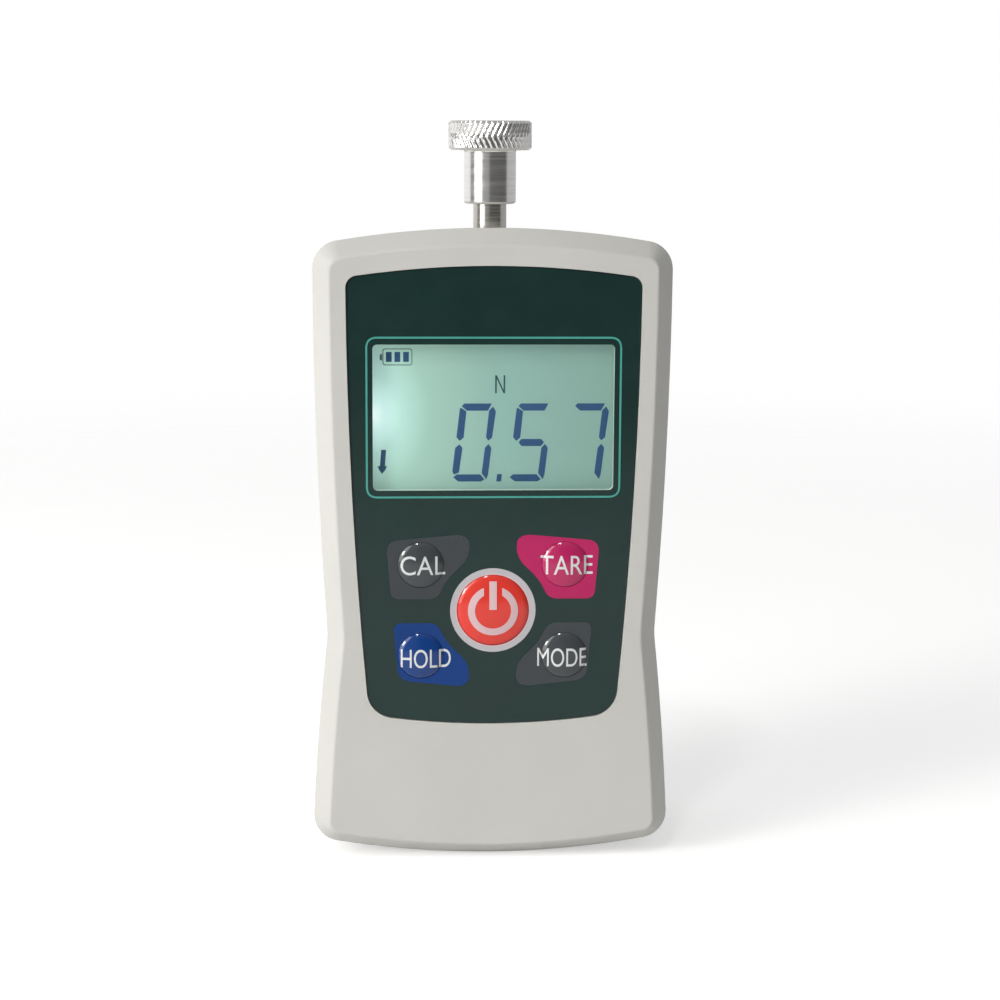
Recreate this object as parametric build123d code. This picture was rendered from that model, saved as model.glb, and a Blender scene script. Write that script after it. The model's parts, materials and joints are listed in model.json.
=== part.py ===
from build123d import *
import math
import os

# Digital force gauge, all sizes in millimetres.
# X is the width, Y the depth with the display facing -Y, Z the measuring axis.
# The origin is under the middle of the case, at the height of its lowest point.

# ---------------------------------------------------------------- case
case_height = 113.5        # on the centre line, bottom crown to top crown
case_depth = 37.0          # front face to rear face
shoulder_width = 63.3      # outline at the top corners, before they are rounded
waist_width = 58.8         # outline at the grip
base_width = 64.6          # outline at the bottom corners
waist_height = 41.0
side_bow = 0.6             # crown of each upper side
skirt_bow = 0.33           # crown of each lower side
top_crown = 3.05
bottom_crown = 3.25
top_slope = 0.06           # the top wall falls towards the rear, by this share of its depth
corner_round = 5.0
waist_round = 14.0
bevel_inset = 2.87         # the bevel round the front and rear faces
bevel_depth = 4.5
edge_soften = 0.7
wall = 2.2
front_wall = 2.6
rear_wall = 2.8
lip_depth = 1.6            # tongue of the rear case inside the front case
lip_gap = 0.1
parting_chamfer = 0.3

# ---------------------------------------------------------------- front panel and window
panel_top_width = 51.5
panel_bottom_width = 43.9
panel_top_gap = 6.45       # case top crown down to panel top crown
panel_foot = 25.45         # height of the panel's lowest point
panel_top_crown = 2.0
panel_bottom_crown = 1.75
panel_side_bow = 0.88
panel_top_round = 2.0
panel_bottom_round = 5.0
panel_thickness = 1.2
panel_sink = 0.3           # panel surface below the front face
panel_gap = 0.1
view_width = 42.4          # clear window of the display
view_height = 25.8
view_round = 0.8
display_height = 80.55     # height of the window's middle
window_gap = 0.05
opening_margin = 0.8       # case opening outside the clear window
through = 1.0              # how far a cutter runs past the face that it opens

# ---------------------------------------------------------------- keys
key_radius = 4.1
power_radius = 6.4
key_column = 12.8          # left and right keys from the centre line
power_height = 46.1
key_row = 8.25             # key rows above and below the power key
key_crown = 0.75
key_rise = 0.15            # straight edge of a key above the panel
key_gap = 0.12
key_flange = 0.9
key_flange_thickness = 0.8
key_travel = 0.35
switch_size = 6.0
switch_round = 0.4
switch_height = 3.5
switch_hole_gap = 0.08
plunger_radius = 1.75
plunger_depth = 2.6

# ---------------------------------------------------------------- display and board
lcd_side_border = 3.1      # glass beyond the clear window, at each side
lcd_end_border = 4.4       # and at the top and the bottom, for the contact rows
lcd_thickness = 1.8
glass_round = 0.3
seat_gap = 0.1             # between stacked display parts
backlight_side_border = 0.8
backlight_end_border = 1.1
lamp_size = 1.6
lamp_row = 7.0             # lamps above and below the window's middle
lamp_bite = 0.1
frame_wall = 1.5
frame_gap = 0.15
frame_round = 1.0
strip_width = 2.0          # elastomer connector strips
board_front = 5.0          # board surface behind the front wall's inner face
board_thickness = 1.6
board_side_gap = 1.2       # board edge to the case wall at the waist
board_bottom = 28.5
board_top = 104.2
board_round = 1.5
board_notch_gap = 0.6      # round the case screws' bosses
post_radius = 2.2
post_floor = 0.5           # solid plastic under a post's pilot hole
post_inset = 5.5           # lower posts from the board's side
post_margin = 3.0          # lower posts from the board's bottom edge
upper_post_column = 14.0
upper_post_margin = 2.5
board_screw_radius = 1.0
board_screw_head_radius = 1.9
board_screw_head_height = 1.2
board_screw_end_gap = 0.8
pilot_ratio = 0.85         # pilot hole to screw radius

# ---------------------------------------------------------------- on the back of the board
chip_standoff = 0.1
pin_reach = 0.8
pin_thickness = 0.3
pin_share = 0.45           # width of a chip's pin to its pitch
controller_size = 10.0
controller_height = 1.5
controller_pins = 12
controller_pitch = 0.8
controller_column = 2.0
controller_row = 50.0
converter_width = 5.4
converter_length = 10.2
converter_height = 1.4
converter_pins = 8
converter_pitch = 1.27
converter_gap = 0.6        # clear of the load cell's side
converter_row = 68.0
buzzer_radius = 6.0
buzzer_height = 5.5
buzzer_column = -15.0
buzzer_row = 47.0
port_radius = 1.0
port_depth = 1.5
header_pitch = 2.5
header_end = 0.75          # shroud beyond the end pins' spaces
header_depth = 4.0
header_height = 4.5
header_wall = 0.6
header_floor = 1.0
header_pin = 0.6
battery_header_column = 14.0
battery_header_row = 36.0
battery_header_pins = 2
cell_header_column = 17.0
cell_header_drop = 5.5     # below the load cell's foot
cell_header_pins = 4

# ---------------------------------------------------------------- case screws
case_screw_inset = 7.0     # from the outline's bottom and top corners
case_screw_low = 10.0
case_screw_top_gap = 10.1  # below the case top
boss_radius = 3.2
screw_tube_radius = 4.1
screw_radius = 1.45
screw_head_radius = 2.6
screw_head_height = 1.9
screw_head_depth = 10.0    # head seat below the rear face
screw_bite = 9.0
screw_end_gap = 1.0        # pilot hole beyond the screw's end
screw_clearance = 0.15
screw_dome = 0.35          # chamfer of a screw head to its height

# ---------------------------------------------------------------- battery bay
cell_radius = 5.25
cell_length = 44.5
cell_nub_radius = 1.9
cell_nub_height = 1.0
cell_count = 3
cell_pitch = 11.2
cell_gap = 0.45
spring_length = 3.6
spring_strip = 0.35
spring_width = 5.0
spring_depth = 5.8
contact_thickness = 0.4
contact_width = 8.0
contact_depth = 6.2
spring_rest = 0.2          # spring short of the cell's end
spring_knee = 0.55         # height of the spring's free end to its reach
spring_heel = 0.14         # inner bend from the back edge, to the spring's depth
bay_foot = 7.5             # height of the bay's lower end
bay_wall = 1.2
bay_round = 0.5
door_thickness = 1.8
door_gap = 0.2
door_ledge = 1.7           # width of the ledge that the door rests on
door_round = 2.5
door_chamfer = 0.3
cradle_height = 1.8
cradle_width = 0.8
cradle_end_gap = 4.0
cell_chamfer = 0.5
latch_width = 9.0
latch_thickness = 1.2
latch_depth = 2.3
latch_catch = 0.6
latch_ramp = 0.6
hook_width = 5.0
hook_inset = 8.1           # hooks from the door's side
hook_thickness = 1.0
hook_reach = 1.2
hook_bite = 0.3            # where a hook or the latch runs into the door
grip_count = 5
grip_pitch = 1.6
grip_radius = 0.5
grip_width = 16.0
grip_top_gap = 5.0

# ---------------------------------------------------------------- measuring shaft
shaft_radius = 3.0
stud_radius = 2.45
thread_gap = 0.05
head_radius = 7.5
head_height = 5.2
head_chamfer = 0.45
collar_radius = 4.67
collar_height = 9.55
collar_chamfer = 0.4
head_lift = 3.65           # collar's lower face above the case
head_bore_depth = 9.0
stud_end_gap = 0.6         # stud short of the bore's end
thread_relief = 0.4        # shaft's lower stud short of the load cell's slot
bush_radius = 4.5
bush_flange_radius = 6.2
bush_flange_thickness = 1.5
bush_gap = 0.05
bush_top_gap = 0.1         # bush below the lowest edge of its hole
shelf_thickness = 1.5
shelf_width = 18.0
shelf_hole_gap = 0.5

# ---------------------------------------------------------------- load cell
cell_block_width = 34.0
cell_block_height = 30.0
cell_block_depth = 12.0
shelf_collar_gap = 2.1     # upper stop collar below the bush's shelf
arm_height = 6.0           # upper and lower arms of the block
slot_height = 1.5
link_width = 6.0           # the link from each arm to the middle beam
flexure_radius = 6.0       # radius of the two joined holes
flexure_pitch = 13.0
flexure_slot = 3.0
gauge_length = 4.0
gauge_width = 5.0
gauge_thickness = 0.12
bracket_thickness = 2.5
bracket_margin = 5.0       # back plate beyond the mounting holes
bracket_foot_margin = 1.5  # foot beyond the load cell's screw heads
bracket_window_width = 24.0
bracket_window_gap = 0.3   # window clear of the bracket screws' bosses
bracket_notch_gap = 0.4    # back plate clear of the case screws' tubes
bracket_round = 3.0
cell_screw_column = 8.0
cell_screw_radius = 2.0
cell_screw_head_radius = 3.5
cell_screw_head_height = 3.4
cell_screw_bite = 5.0
cell_screw_hex = 3.2       # across flats
cell_thread_room = 0.2
nut_width = 10.0           # across flats
nut_height = 3.0
nut_collar_gap = 1.5
stop_collar_radius = 5.0
stop_collar_height = 1.5
stop_gap = 0.35

# ---------------------------------------------------------------- rear mounting
mount_width = 40.0         # hole to hole
mount_height = 30.0
insert_radius = 3.0
insert_hole_radius = 1.65
insert_length = 6.0
mount_boss_radius = 4.4
bracket_screw_head_radius = 3.0
bracket_screw_head_height = 1.9
bracket_screw_bite = 4.5
bracket_screw_chamfer = 0.6
bracket_screw_column = 20.0
bracket_screw_row = 11.7
bracket_boss_radius = 3.4

# ---------------------------------------------------------------- worked-out places
front_y = -case_depth / 2
rear_y = case_depth / 2
front_in_y = front_y + front_wall
rear_in_y = rear_y - rear_wall
bevel_slope = bevel_inset / bevel_depth
front_shoulder_y = front_y + bevel_depth
pocket_y = front_y + panel_sink + panel_thickness
panel_y = front_y + panel_sink
board_y = front_in_y + board_front
board_back_y = board_y + board_thickness
lcd_y = front_in_y + seat_gap
lcd_back_y = lcd_y + lcd_thickness
lcd_width = view_width + 2 * lcd_side_border
lcd_height = view_height + 2 * lcd_end_border
backlight_width = view_width + 2 * backlight_side_border
backlight_height = view_height + 2 * backlight_end_border
board_width = waist_width - 2 * (wall + board_side_gap)

key_places = {
    "set": (-key_column, power_height + key_row, key_radius),
    "zero": (key_column, power_height + key_row, key_radius),
    "peak": (-key_column, power_height - key_row, key_radius),
    "unit": (key_column, power_height - key_row, key_radius),
    "power": (0.0, power_height, power_radius),
}
low_screw_column = base_width / 2 - case_screw_inset
top_screw_column = shoulder_width / 2 - case_screw_inset
case_screws_at = [
    (-low_screw_column, case_screw_low),
    (low_screw_column, case_screw_low),
    (-top_screw_column, case_height - case_screw_top_gap),
    (top_screw_column, case_height - case_screw_top_gap),
]
lower_post_column = board_width / 2 - post_inset
board_posts_at = [
    (-lower_post_column, board_bottom + post_margin),
    (lower_post_column, board_bottom + post_margin),
    (-upper_post_column, board_top - upper_post_margin),
    (upper_post_column, board_top - upper_post_margin),
]

bush_flange_foot = case_height - wall - bush_flange_thickness
shelf_foot = bush_flange_foot - shelf_thickness
stop_flange_top = shelf_foot - shelf_collar_gap - stop_collar_height - stop_gap
stop_flange_foot = stop_flange_top - bracket_thickness
cell_block_top = stop_flange_foot - stop_gap - stop_collar_height - nut_collar_gap - nut_height
cell_block_foot = cell_block_top - cell_block_height
mount_centre = cell_block_foot + cell_block_height / 2
mounts_at = [
    (side * mount_width / 2, mount_centre + row * mount_height / 2)
    for side in (-1, 1)
    for row in (-1, 1)
]
bracket_screws_at = [
    (-bracket_screw_column, mount_centre),
    (bracket_screw_column, mount_centre),
    (0.0, mount_centre - bracket_screw_row),
    (0.0, mount_centre + bracket_screw_row),
]

bay_width = (cell_count - 1) * cell_pitch + 2 * cell_radius + 2 * cell_gap
bay_length = cell_length + cell_nub_height + spring_length + 2 * contact_thickness
bay_top = bay_foot + bay_length
door_y = rear_y - door_thickness
cells_y = door_y - cell_gap - cell_radius
bay_floor_y = cells_y - cell_radius - cell_gap
door_width = bay_width + 2 * door_ledge
door_length = bay_length + 2 * door_ledge
door_centre = bay_foot + bay_length / 2
hook_column = door_width / 2 - hook_inset
cell_columns = [(i - (cell_count - 1) / 2) * cell_pitch for i in range(cell_count)]

collar_foot = case_height + head_lift
head_top = collar_foot + collar_height + head_height


# ---------------------------------------------------------------- helpers
def facing(y):
    """Plane at depth y that looks to the front: sketch x is X, sketch y is Z."""
    return Plane(origin=(0, y, 0), x_dir=(1, 0, 0), z_dir=(0, -1, 0))


def slab(sketch, y_front, y_back):
    """Prism of a sketch between two depths."""
    return extrude(facing(y_back) * sketch, amount=y_back - y_front)


def column(sketch, z_low, z_high):
    """Upright prism of a sketch between two heights."""
    return extrude(Pos(0, 0, z_low) * sketch, amount=z_high - z_low)


def bowed(start, end, bow):
    """Arc from start to end that stands out by bow on its left."""
    (x0, y0), (x1, y1) = start, end
    length = math.hypot(x1 - x0, y1 - y0)
    left = (-(y1 - y0) / length, (x1 - x0) / length)
    middle = ((x0 + x1) / 2 + left[0] * bow, (y0 + y1) / 2 + left[1] * bow)
    return ThreePointArc(start, middle, end)


def bowed_face(corners, bows, rounds):
    """Closed face of bowed sides, clockwise, with each corner rounded."""
    sides = [bowed(a, b, bow) for a, b, bow in zip(corners, corners[1:] + corners[:1], bows)]
    face = make_face(sides)
    for corner, radius in zip(corners, rounds):
        vertex = face.vertices().sort_by_distance(Vector(*corner, 0))[0]
        face = fillet(vertex, radius)
    return face


def grown(face, amount):
    """Face of tangent arcs, grown all round: each arc moves out along its own normals."""
    sides = []
    for side in face.edges():
        moved = []
        for share in (0, 0.5, 1):
            point, along = side @ share, side % share
            out = Vector(along.Y, -along.X)
            if face.is_inside(point + out * edge_soften):
                out = -out
            moved.append(point + out * amount)
        sides.append(ThreePointArc(*moved))
    return make_face(sides)


def top_fall(y):
    """How far the top wall has fallen at depth y."""
    return top_slope * (y - front_shoulder_y)


def case_section(inset, y):
    """Outline of the case at depth y, waisted, shrunk by inset all round."""
    top, low = case_height - top_crown - top_fall(y), bottom_crown
    corners = [
        (-shoulder_width / 2, top),
        (shoulder_width / 2, top),
        (waist_width / 2, waist_height),
        (base_width / 2, low),
        (-base_width / 2, low),
        (-waist_width / 2, waist_height),
    ]
    bows = [top_crown, side_bow, skirt_bow, bottom_crown, skirt_bow, side_bow]
    rounds = [corner_round, corner_round, waist_round, corner_round, corner_round, waist_round]
    return grown(bowed_face(corners, bows, rounds), -inset)


def panel_section(grow=0.0):
    """Outline of the front panel, grown by grow all round."""
    top = case_height - panel_top_gap - panel_top_crown
    low = panel_foot + panel_bottom_crown
    corners = [
        (-panel_top_width / 2, top),
        (panel_top_width / 2, top),
        (panel_bottom_width / 2, low),
        (-panel_bottom_width / 2, low),
    ]
    bows = [panel_top_crown, panel_side_bow, panel_bottom_crown, panel_side_bow]
    rounds = [panel_top_round, panel_top_round, panel_bottom_round, panel_bottom_round]
    return grown(bowed_face(corners, bows, rounds), grow)


def across(x):
    """Plane at side place x that looks to the right: sketch x is Y, sketch y is Z."""
    return Plane(origin=(x, 0, 0), x_dir=(0, 1, 0), z_dir=(1, 0, 0))


def drum(x, z, radius, y_front, y_back):
    """Cylinder along Y."""
    return slab(Pos(x, z) * Circle(radius), y_front, y_back)


def rod(radius, z_low, z_high, x=0.0, y=0.0):
    """Upright cylinder."""
    return column(Pos(x, y) * Circle(radius), z_low, z_high)


def plate(x_size, z_size, round_r, x, z, y_front, y_back):
    """Plate across Y with round corners."""
    return slab(Pos(x, z) * RectangleRounded(x_size, z_size, round_r), y_front, y_back)


def brick(x0, x1, y0, y1, z0, z1):
    """Box between two corners."""
    return Pos((x0 + x1) / 2, (y0 + y1) / 2, (z0 + z1) / 2) * Box(x1 - x0, y1 - y0, z1 - z0)


def at_depth(shape, y):
    """Edges of a shape that lie wholly at depth y."""
    return shape.edges().filter_by_position(Axis.Y, y, y)


def half_block(face_y):
    """Outer form of one half of the case: its walls and the bevel towards face_y."""
    shoulder_y = face_y - math.copysign(bevel_depth, face_y)
    sections = [facing(y) * case_section(0, y) for y in (0, shoulder_y)]
    sections += [facing(face_y) * case_section(bevel_inset, shoulder_y)]
    block = loft(sections, ruled=True)
    block = fillet(at_depth(block, face_y) + at_depth(block, shoulder_y), edge_soften)
    return chamfer(at_depth(block, 0), parting_chamfer)


def half_cavity(face_y, inner_y):
    """Room inside one half of the case, which follows its bevel."""
    shoulder_y = face_y - math.copysign(bevel_depth, face_y)
    deeper = wall + abs(inner_y - shoulder_y) * bevel_slope
    sections = [facing(y) * case_section(wall, y) for y in (0, shoulder_y)]
    sections += [facing(inner_y) * case_section(deeper, shoulder_y)]
    return loft(sections, ruled=True)


def cylinder_shell(radius, hole, z_low, z_high):
    """Upright ring."""
    return column(Circle(radius) - Circle(hole), z_low, z_high)


# ---------------------------------------------------------------- housing
def front_case():
    body = half_block(front_y) - half_cavity(front_y, front_in_y)
    lip_room = case_section(wall / 2 - lip_gap / 2, 0)
    body -= slab(lip_room, -lip_depth - lip_gap, 0)
    body -= slab(panel_section(panel_gap), front_y - through, pocket_y)
    opening = Pos(0, display_height) * RectangleRounded(
        view_width + 2 * opening_margin, view_height + 2 * opening_margin, view_round
    )
    body -= slab(opening, front_y, front_in_y + through)
    for x, z, radius in key_places.values():
        body -= drum(x, z, radius + key_gap, front_y, front_in_y + through)
    for x, z in case_screws_at:
        body += drum(x, z, boss_radius, front_in_y - wall / 2, 0)
        body -= drum(x, z, screw_radius * pilot_ratio, -screw_bite - screw_end_gap, through)
    for x, z in board_posts_at:
        body += drum(x, z, post_radius, front_in_y, board_y)
        body -= drum(x, z, board_screw_radius * pilot_ratio, front_in_y + post_floor, board_y)
    body += bush_shelf(front_in_y, -lip_depth - lip_gap)
    return body - bush_room()


def bush_shelf(face_in_y, split_y):
    """Shelf under the bush's flange, from the split to the front or rear wall, with a web at each end."""
    low_y, high_y = sorted((face_in_y, split_y))
    shelf = brick(-shelf_width / 2, shelf_width / 2, low_y, high_y, shelf_foot, bush_flange_foot)
    web_top = case_height - top_crown * (shelf_width / shoulder_width) ** 2
    profile = Polyline(
        (face_in_y, shelf_foot),
        (split_y, shelf_foot),
        (split_y, web_top - wall / 2 - top_fall(split_y)),
        (face_in_y, web_top - wall - top_fall(face_in_y)),
        close=True,
    )
    for left in (-shelf_width / 2, shelf_width / 2 - wall):
        shelf += extrude(across(left) * make_face(profile), amount=wall)
    return shelf


def bush_room():
    """Hole through the top wall and the shelf for the bush and the shaft."""
    room = rod(bush_radius, bush_flange_foot, case_height + through)
    room += rod(bush_flange_radius, bush_flange_foot, bush_flange_foot + bush_flange_thickness)
    return room + rod(shaft_radius + shelf_hole_gap, shelf_foot - through, bush_flange_foot + through)


def battery_bay():
    """Walls of the battery bay, inside the rear case."""
    outer = plate(bay_width + 2 * bay_wall, bay_length + 2 * bay_wall, 2 * bay_round, 0, door_centre,
                  bay_floor_y - bay_wall, rear_in_y + rear_wall / 4)
    room = plate(bay_width, bay_length, bay_round, 0, door_centre, bay_floor_y, rear_y + through)
    bay = outer - room
    for left, right in zip(cell_columns, cell_columns[1:]):
        x = (left + right) / 2
        bay += brick(x - cradle_width / 2, x + cradle_width / 2, bay_floor_y - bay_wall / 2,
                     bay_floor_y + cradle_height, bay_foot + cradle_end_gap, bay_top - cradle_end_gap)
    return bay, room


def rear_case():
    body = half_block(rear_y) - half_cavity(rear_y, rear_in_y)
    lip = case_section(wall / 2 + lip_gap / 2, 0) - case_section(wall, 0)
    body += slab(lip, -lip_depth, 0)
    for x, z in case_screws_at:
        body += drum(x, z, screw_tube_radius, 0, rear_in_y + rear_wall / 2)
    bay, room = battery_bay()
    body += bay
    body -= room
    body -= plate(door_width, door_length, door_round, 0, door_centre, door_y, rear_y + through)
    body -= latch_slot()
    body -= hook_slots()
    for x, z in case_screws_at:
        body -= drum(x, z, screw_radius + screw_clearance, -through, rear_y)
        body -= drum(x, z, screw_head_radius + screw_clearance, rear_y - screw_head_depth, rear_y + through)
    for x, z in mounts_at:
        body += drum(x, z, mount_boss_radius, rear_y - insert_length, rear_in_y + rear_wall / 2)
        body -= drum(x, z, insert_radius, 0, rear_y + through)
    for x, z in bracket_screws_at:
        body += drum(x, z, bracket_boss_radius, rear_y - insert_length, rear_in_y + rear_wall / 2)
        body -= drum(x, z, screw_radius * pilot_ratio, 0, rear_y - screw_end_gap)
    body += bush_shelf(rear_in_y, 0)
    return body - bush_room()


# ---------------------------------------------------------------- battery door
def latch_slot():
    """Slot behind the top ledge that the latch's catch snaps into."""
    half = latch_width / 2 + door_gap
    return brick(-half, half, door_y - latch_depth - door_gap, door_y + hook_bite,
                 bay_top - through, bay_top + latch_catch + door_gap)


def hook_slots():
    """Slots in the bottom ledge for the door's hooks."""
    half = hook_width / 2 + door_gap
    slots = [
        brick(x - half, x + half, door_y - hook_thickness - 2 * door_gap, door_y + hook_bite,
              bay_foot - hook_reach - door_gap, bay_foot + through)
        for x in (-hook_column, hook_column)
    ]
    return slots[0] + slots[1]


def door_hook(x):
    """L-shaped hook under the door's lower end."""
    low_y, high_z = door_y - hook_thickness - door_gap, bay_foot + hook_bite + hook_thickness
    left, right = x - hook_width / 2, x + hook_width / 2
    stem = brick(left, right, low_y, door_y + hook_bite, bay_foot + hook_bite, high_z)
    return stem + brick(left, right, low_y, door_y - door_gap, bay_foot - hook_reach, high_z)


def door_latch():
    """Springy tongue at the door's upper end, with the catch on it."""
    top = bay_top - door_gap
    catch_y = door_y - latch_depth / 2
    profile = Polyline(
        (door_y + hook_bite, top - latch_thickness),
        (door_y - latch_depth, top - latch_thickness),
        (door_y - latch_depth, top),
        (catch_y, top + latch_catch),
        (catch_y + latch_ramp, top),
        (door_y + hook_bite, top),
        close=True,
    )
    return extrude(across(-latch_width / 2) * make_face(profile), amount=latch_width)


def battery_door():
    width, length = door_width - 2 * door_gap, door_length - 2 * door_gap
    door = plate(width, length, door_round - door_gap, 0, door_centre, door_y, rear_y)
    door = chamfer(at_depth(door, rear_y), door_chamfer)
    for i in range(grip_count):
        z = bay_top - grip_top_gap - i * grip_pitch
        door -= Pos(0, rear_y, z) * Rot(0, 90, 0) * Cylinder(grip_radius, grip_width)
    return door + door_hook(-hook_column) + door_hook(hook_column) + door_latch()


# ---------------------------------------------------------------- panel, window and keys
def front_panel():
    panel = slab(panel_section(), panel_y, pocket_y)
    front, back = panel_y - through, pocket_y + through
    panel -= plate(view_width, view_height, view_round, 0, display_height, front, back)
    for x, z, radius in key_places.values():
        panel -= drum(x, z, radius + key_gap, front, back)
    return panel


def display_window():
    return plate(view_width - 2 * window_gap, view_height - 2 * window_gap, view_round, 0, display_height,
                 panel_y, pocket_y)


def key(name):
    """Domed key cap with the flange that keeps it behind the wall."""
    x, z, radius = key_places[name]
    rim_y = panel_y - key_rise
    foot_y = front_in_y + key_flange_thickness
    flange = radius + key_flange
    profile = make_face([
        Polyline((0, foot_y), (flange, foot_y), (flange, front_in_y), (radius, front_in_y), (radius, rim_y)),
        crown_arc(radius, rim_y),
        Line((0, rim_y - key_crown), (0, foot_y)),
    ])
    return Pos(x, 0, z) * revolve(profile, Axis.Y)


def crown_arc(radius, rim_y):
    """Spherical crown of a key, from its rim to its axis."""
    ball = (radius ** 2 + key_crown ** 2) / (2 * key_crown)
    half = math.asin(radius / ball) / 2
    middle = (ball * math.sin(half), rim_y - key_crown + ball * (1 - math.cos(half)))
    return ThreePointArc((radius, rim_y), middle, (0, rim_y - key_crown))


def plunger(name):
    x, z, radius = key_places[name]
    top_y = front_in_y + key_flange_thickness
    return drum(x, z, plunger_radius, top_y, top_y + plunger_depth)


def key_switches():
    """Five switch bodies on the board, each with its plunger's hole."""
    bodies = []
    for x, z, radius in key_places.values():
        body = plate(switch_size, switch_size, switch_round, x, z, board_y - switch_height, board_y)
        hole_y = front_in_y + key_flange_thickness + plunger_depth + key_travel + switch_hole_gap
        body -= drum(x, z, plunger_radius + switch_hole_gap, board_y - switch_height - through, hole_y)
        bodies.append(body)
    return bodies


# ---------------------------------------------------------------- display and electronics
def lcd_glass():
    return plate(lcd_width, lcd_height, glass_round, 0, display_height, lcd_y, lcd_back_y)


def lcd_backlight():
    """Light guide behind the glass, with two lamps at its left side."""
    front, back = lcd_back_y + seat_gap, board_y - seat_gap
    guide = plate(backlight_width, backlight_height, glass_round, 0, display_height, front, back)
    left = -backlight_width / 2
    for side in (-1, 1):
        z = display_height + side * lamp_row
        guide += brick(left - lamp_size, left + lamp_bite, front + seat_gap, back - seat_gap,
                       z - lamp_size, z + lamp_size)
    return guide


def lcd_frame():
    """Frame that holds the glass, the light guide and the strips against the board."""
    width, height = lcd_width + 2 * frame_gap, lcd_height + 2 * frame_gap
    outer_width, outer_height = width + 2 * frame_wall, height + 2 * frame_wall
    outer = plate(outer_width, outer_height, frame_round, 0, display_height, lcd_y, board_y)
    return outer - plate(width, height, glass_round, 0, display_height, lcd_y - through, board_y + through)


def lcd_connectors():
    """Striped rubber strips that join the glass to the board, above and below the light guide."""
    strips = []
    for side in (-1, 1):
        z = display_height + side * (backlight_height + lcd_height) / 4
        strips.append(brick(-backlight_width / 2, backlight_width / 2, lcd_back_y, board_y,
                            z - strip_width / 2, z + strip_width / 2))
    return strips


def main_board():
    height = board_top - board_bottom
    board = plate(board_width, height, board_round, 0, board_bottom + height / 2, board_y, board_back_y)
    for x, z in case_screws_at:
        board -= drum(x, z, boss_radius + board_notch_gap, board_y - through, board_back_y + through)
    for x, z in board_posts_at:
        board -= drum(x, z, board_screw_radius + screw_clearance, board_y - through, board_back_y + through)
    return board


def chip(x, z, x_size, z_size, height, pins, pitch):
    """Chip on the back of the board, with a row of pins on each side."""
    body_y = board_back_y + chip_standoff
    body = brick(x - x_size / 2, x + x_size / 2, body_y, body_y + height, z - z_size / 2, z + z_size / 2)
    reach = x_size / 2 + pin_reach
    half_pin = pitch * pin_share / 2
    for i in range(pins):
        pin_z = z + (i - (pins - 1) / 2) * pitch
        body += brick(x - reach, x + reach, board_back_y, board_back_y + pin_thickness,
                      pin_z - half_pin, pin_z + half_pin)
    return body


def microcontroller():
    return chip(controller_column, controller_row, controller_size, controller_size, controller_height,
                controller_pins, controller_pitch)


def converter_chip():
    x = -cell_block_width / 2 - converter_gap - pin_reach - converter_width / 2
    return chip(x, converter_row, converter_width, converter_length, converter_height, converter_pins,
                converter_pitch)


def buzzer():
    top_y = board_back_y + buzzer_height
    can = drum(buzzer_column, buzzer_row, buzzer_radius, board_back_y, top_y)
    return can - drum(buzzer_column, buzzer_row, port_radius, top_y - port_depth, top_y + through)


def pin_header(x, z, pins):
    """Shrouded pin header on the back of the board."""
    half_length = pins * header_pitch / 2 + header_end
    half_depth = header_depth / 2
    floor_y, top_y = board_back_y + header_floor, board_back_y + header_height
    header = brick(x - half_length, x + half_length, board_back_y, top_y, z - half_depth, z + half_depth)
    header -= brick(x - half_length + header_wall, x + half_length - header_wall, floor_y, top_y + through,
                    z - half_depth + header_wall, z + half_depth - header_wall)
    half_pin = header_pin / 2
    for i in range(pins):
        pin_x = x + (i - (pins - 1) / 2) * header_pitch
        header += brick(pin_x - half_pin, pin_x + half_pin, floor_y - half_pin, top_y - header_wall,
                        z - half_pin, z + half_pin)
    return header


def board_connectors():
    """One header for the battery leads and one for the load cell leads."""
    return [
        pin_header(battery_header_column, battery_header_row, battery_header_pins),
        pin_header(cell_header_column, cell_block_foot - cell_header_drop, cell_header_pins),
    ]


def screw_along_y(x, z, radius, head_radius, head_height, seat_y, length):
    """Pan-head screw that goes to the front."""
    shank = drum(x, z, radius, seat_y - length, seat_y)
    head = drum(x, z, head_radius, seat_y, seat_y + head_height)
    return shank + chamfer(at_depth(head, seat_y + head_height), head_height * screw_dome)


def case_screws():
    seat, radius = rear_y - screw_head_depth, screw_radius * pilot_ratio
    return [
        screw_along_y(x, z, radius, screw_head_radius, screw_head_height, seat, seat + screw_bite)
        for x, z in case_screws_at
    ]


def board_screws():
    radius, length = board_screw_radius * pilot_ratio, board_thickness + board_front - board_screw_end_gap
    return [
        screw_along_y(x, z, radius, board_screw_head_radius, board_screw_head_height, board_back_y, length)
        for x, z in board_posts_at
    ]


# ---------------------------------------------------------------- power
def batteries():
    cells = []
    for i, x in enumerate(cell_columns):
        up = i % 2 == 0
        low = bay_foot + contact_thickness + (spring_length if up else cell_nub_height)
        can = rod(cell_radius, low, low + cell_length, x, cells_y)
        can = chamfer(can.edges().filter_by(GeomType.CIRCLE), cell_chamfer)
        nub_z = low + cell_length if up else low - cell_nub_height
        can += rod(cell_nub_radius, nub_z, nub_z + cell_nub_height, x, cells_y)
        cells.append(can)
    return cells


def leaf_spring(x, base, toward):
    """Bent strip that pushes a cell away from the bay's end."""
    front, back = cells_y - spring_depth / 2, cells_y + spring_depth / 2
    strip = toward * spring_strip
    tip = base + toward * (spring_length - spring_rest)
    knee = base + toward * (spring_length - spring_rest) * spring_knee
    bend = Polyline(
        (front, base),
        (back, base),
        (back, base + strip),
        (cells_y, tip),
        (front, knee),
        (front, knee - strip),
        (cells_y, tip - strip),
        (back - spring_depth * spring_heel, base + strip),
        (front, base + strip),
        close=True,
    )
    return extrude(across(x - spring_width / 2) * make_face(bend), amount=spring_width)


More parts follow.
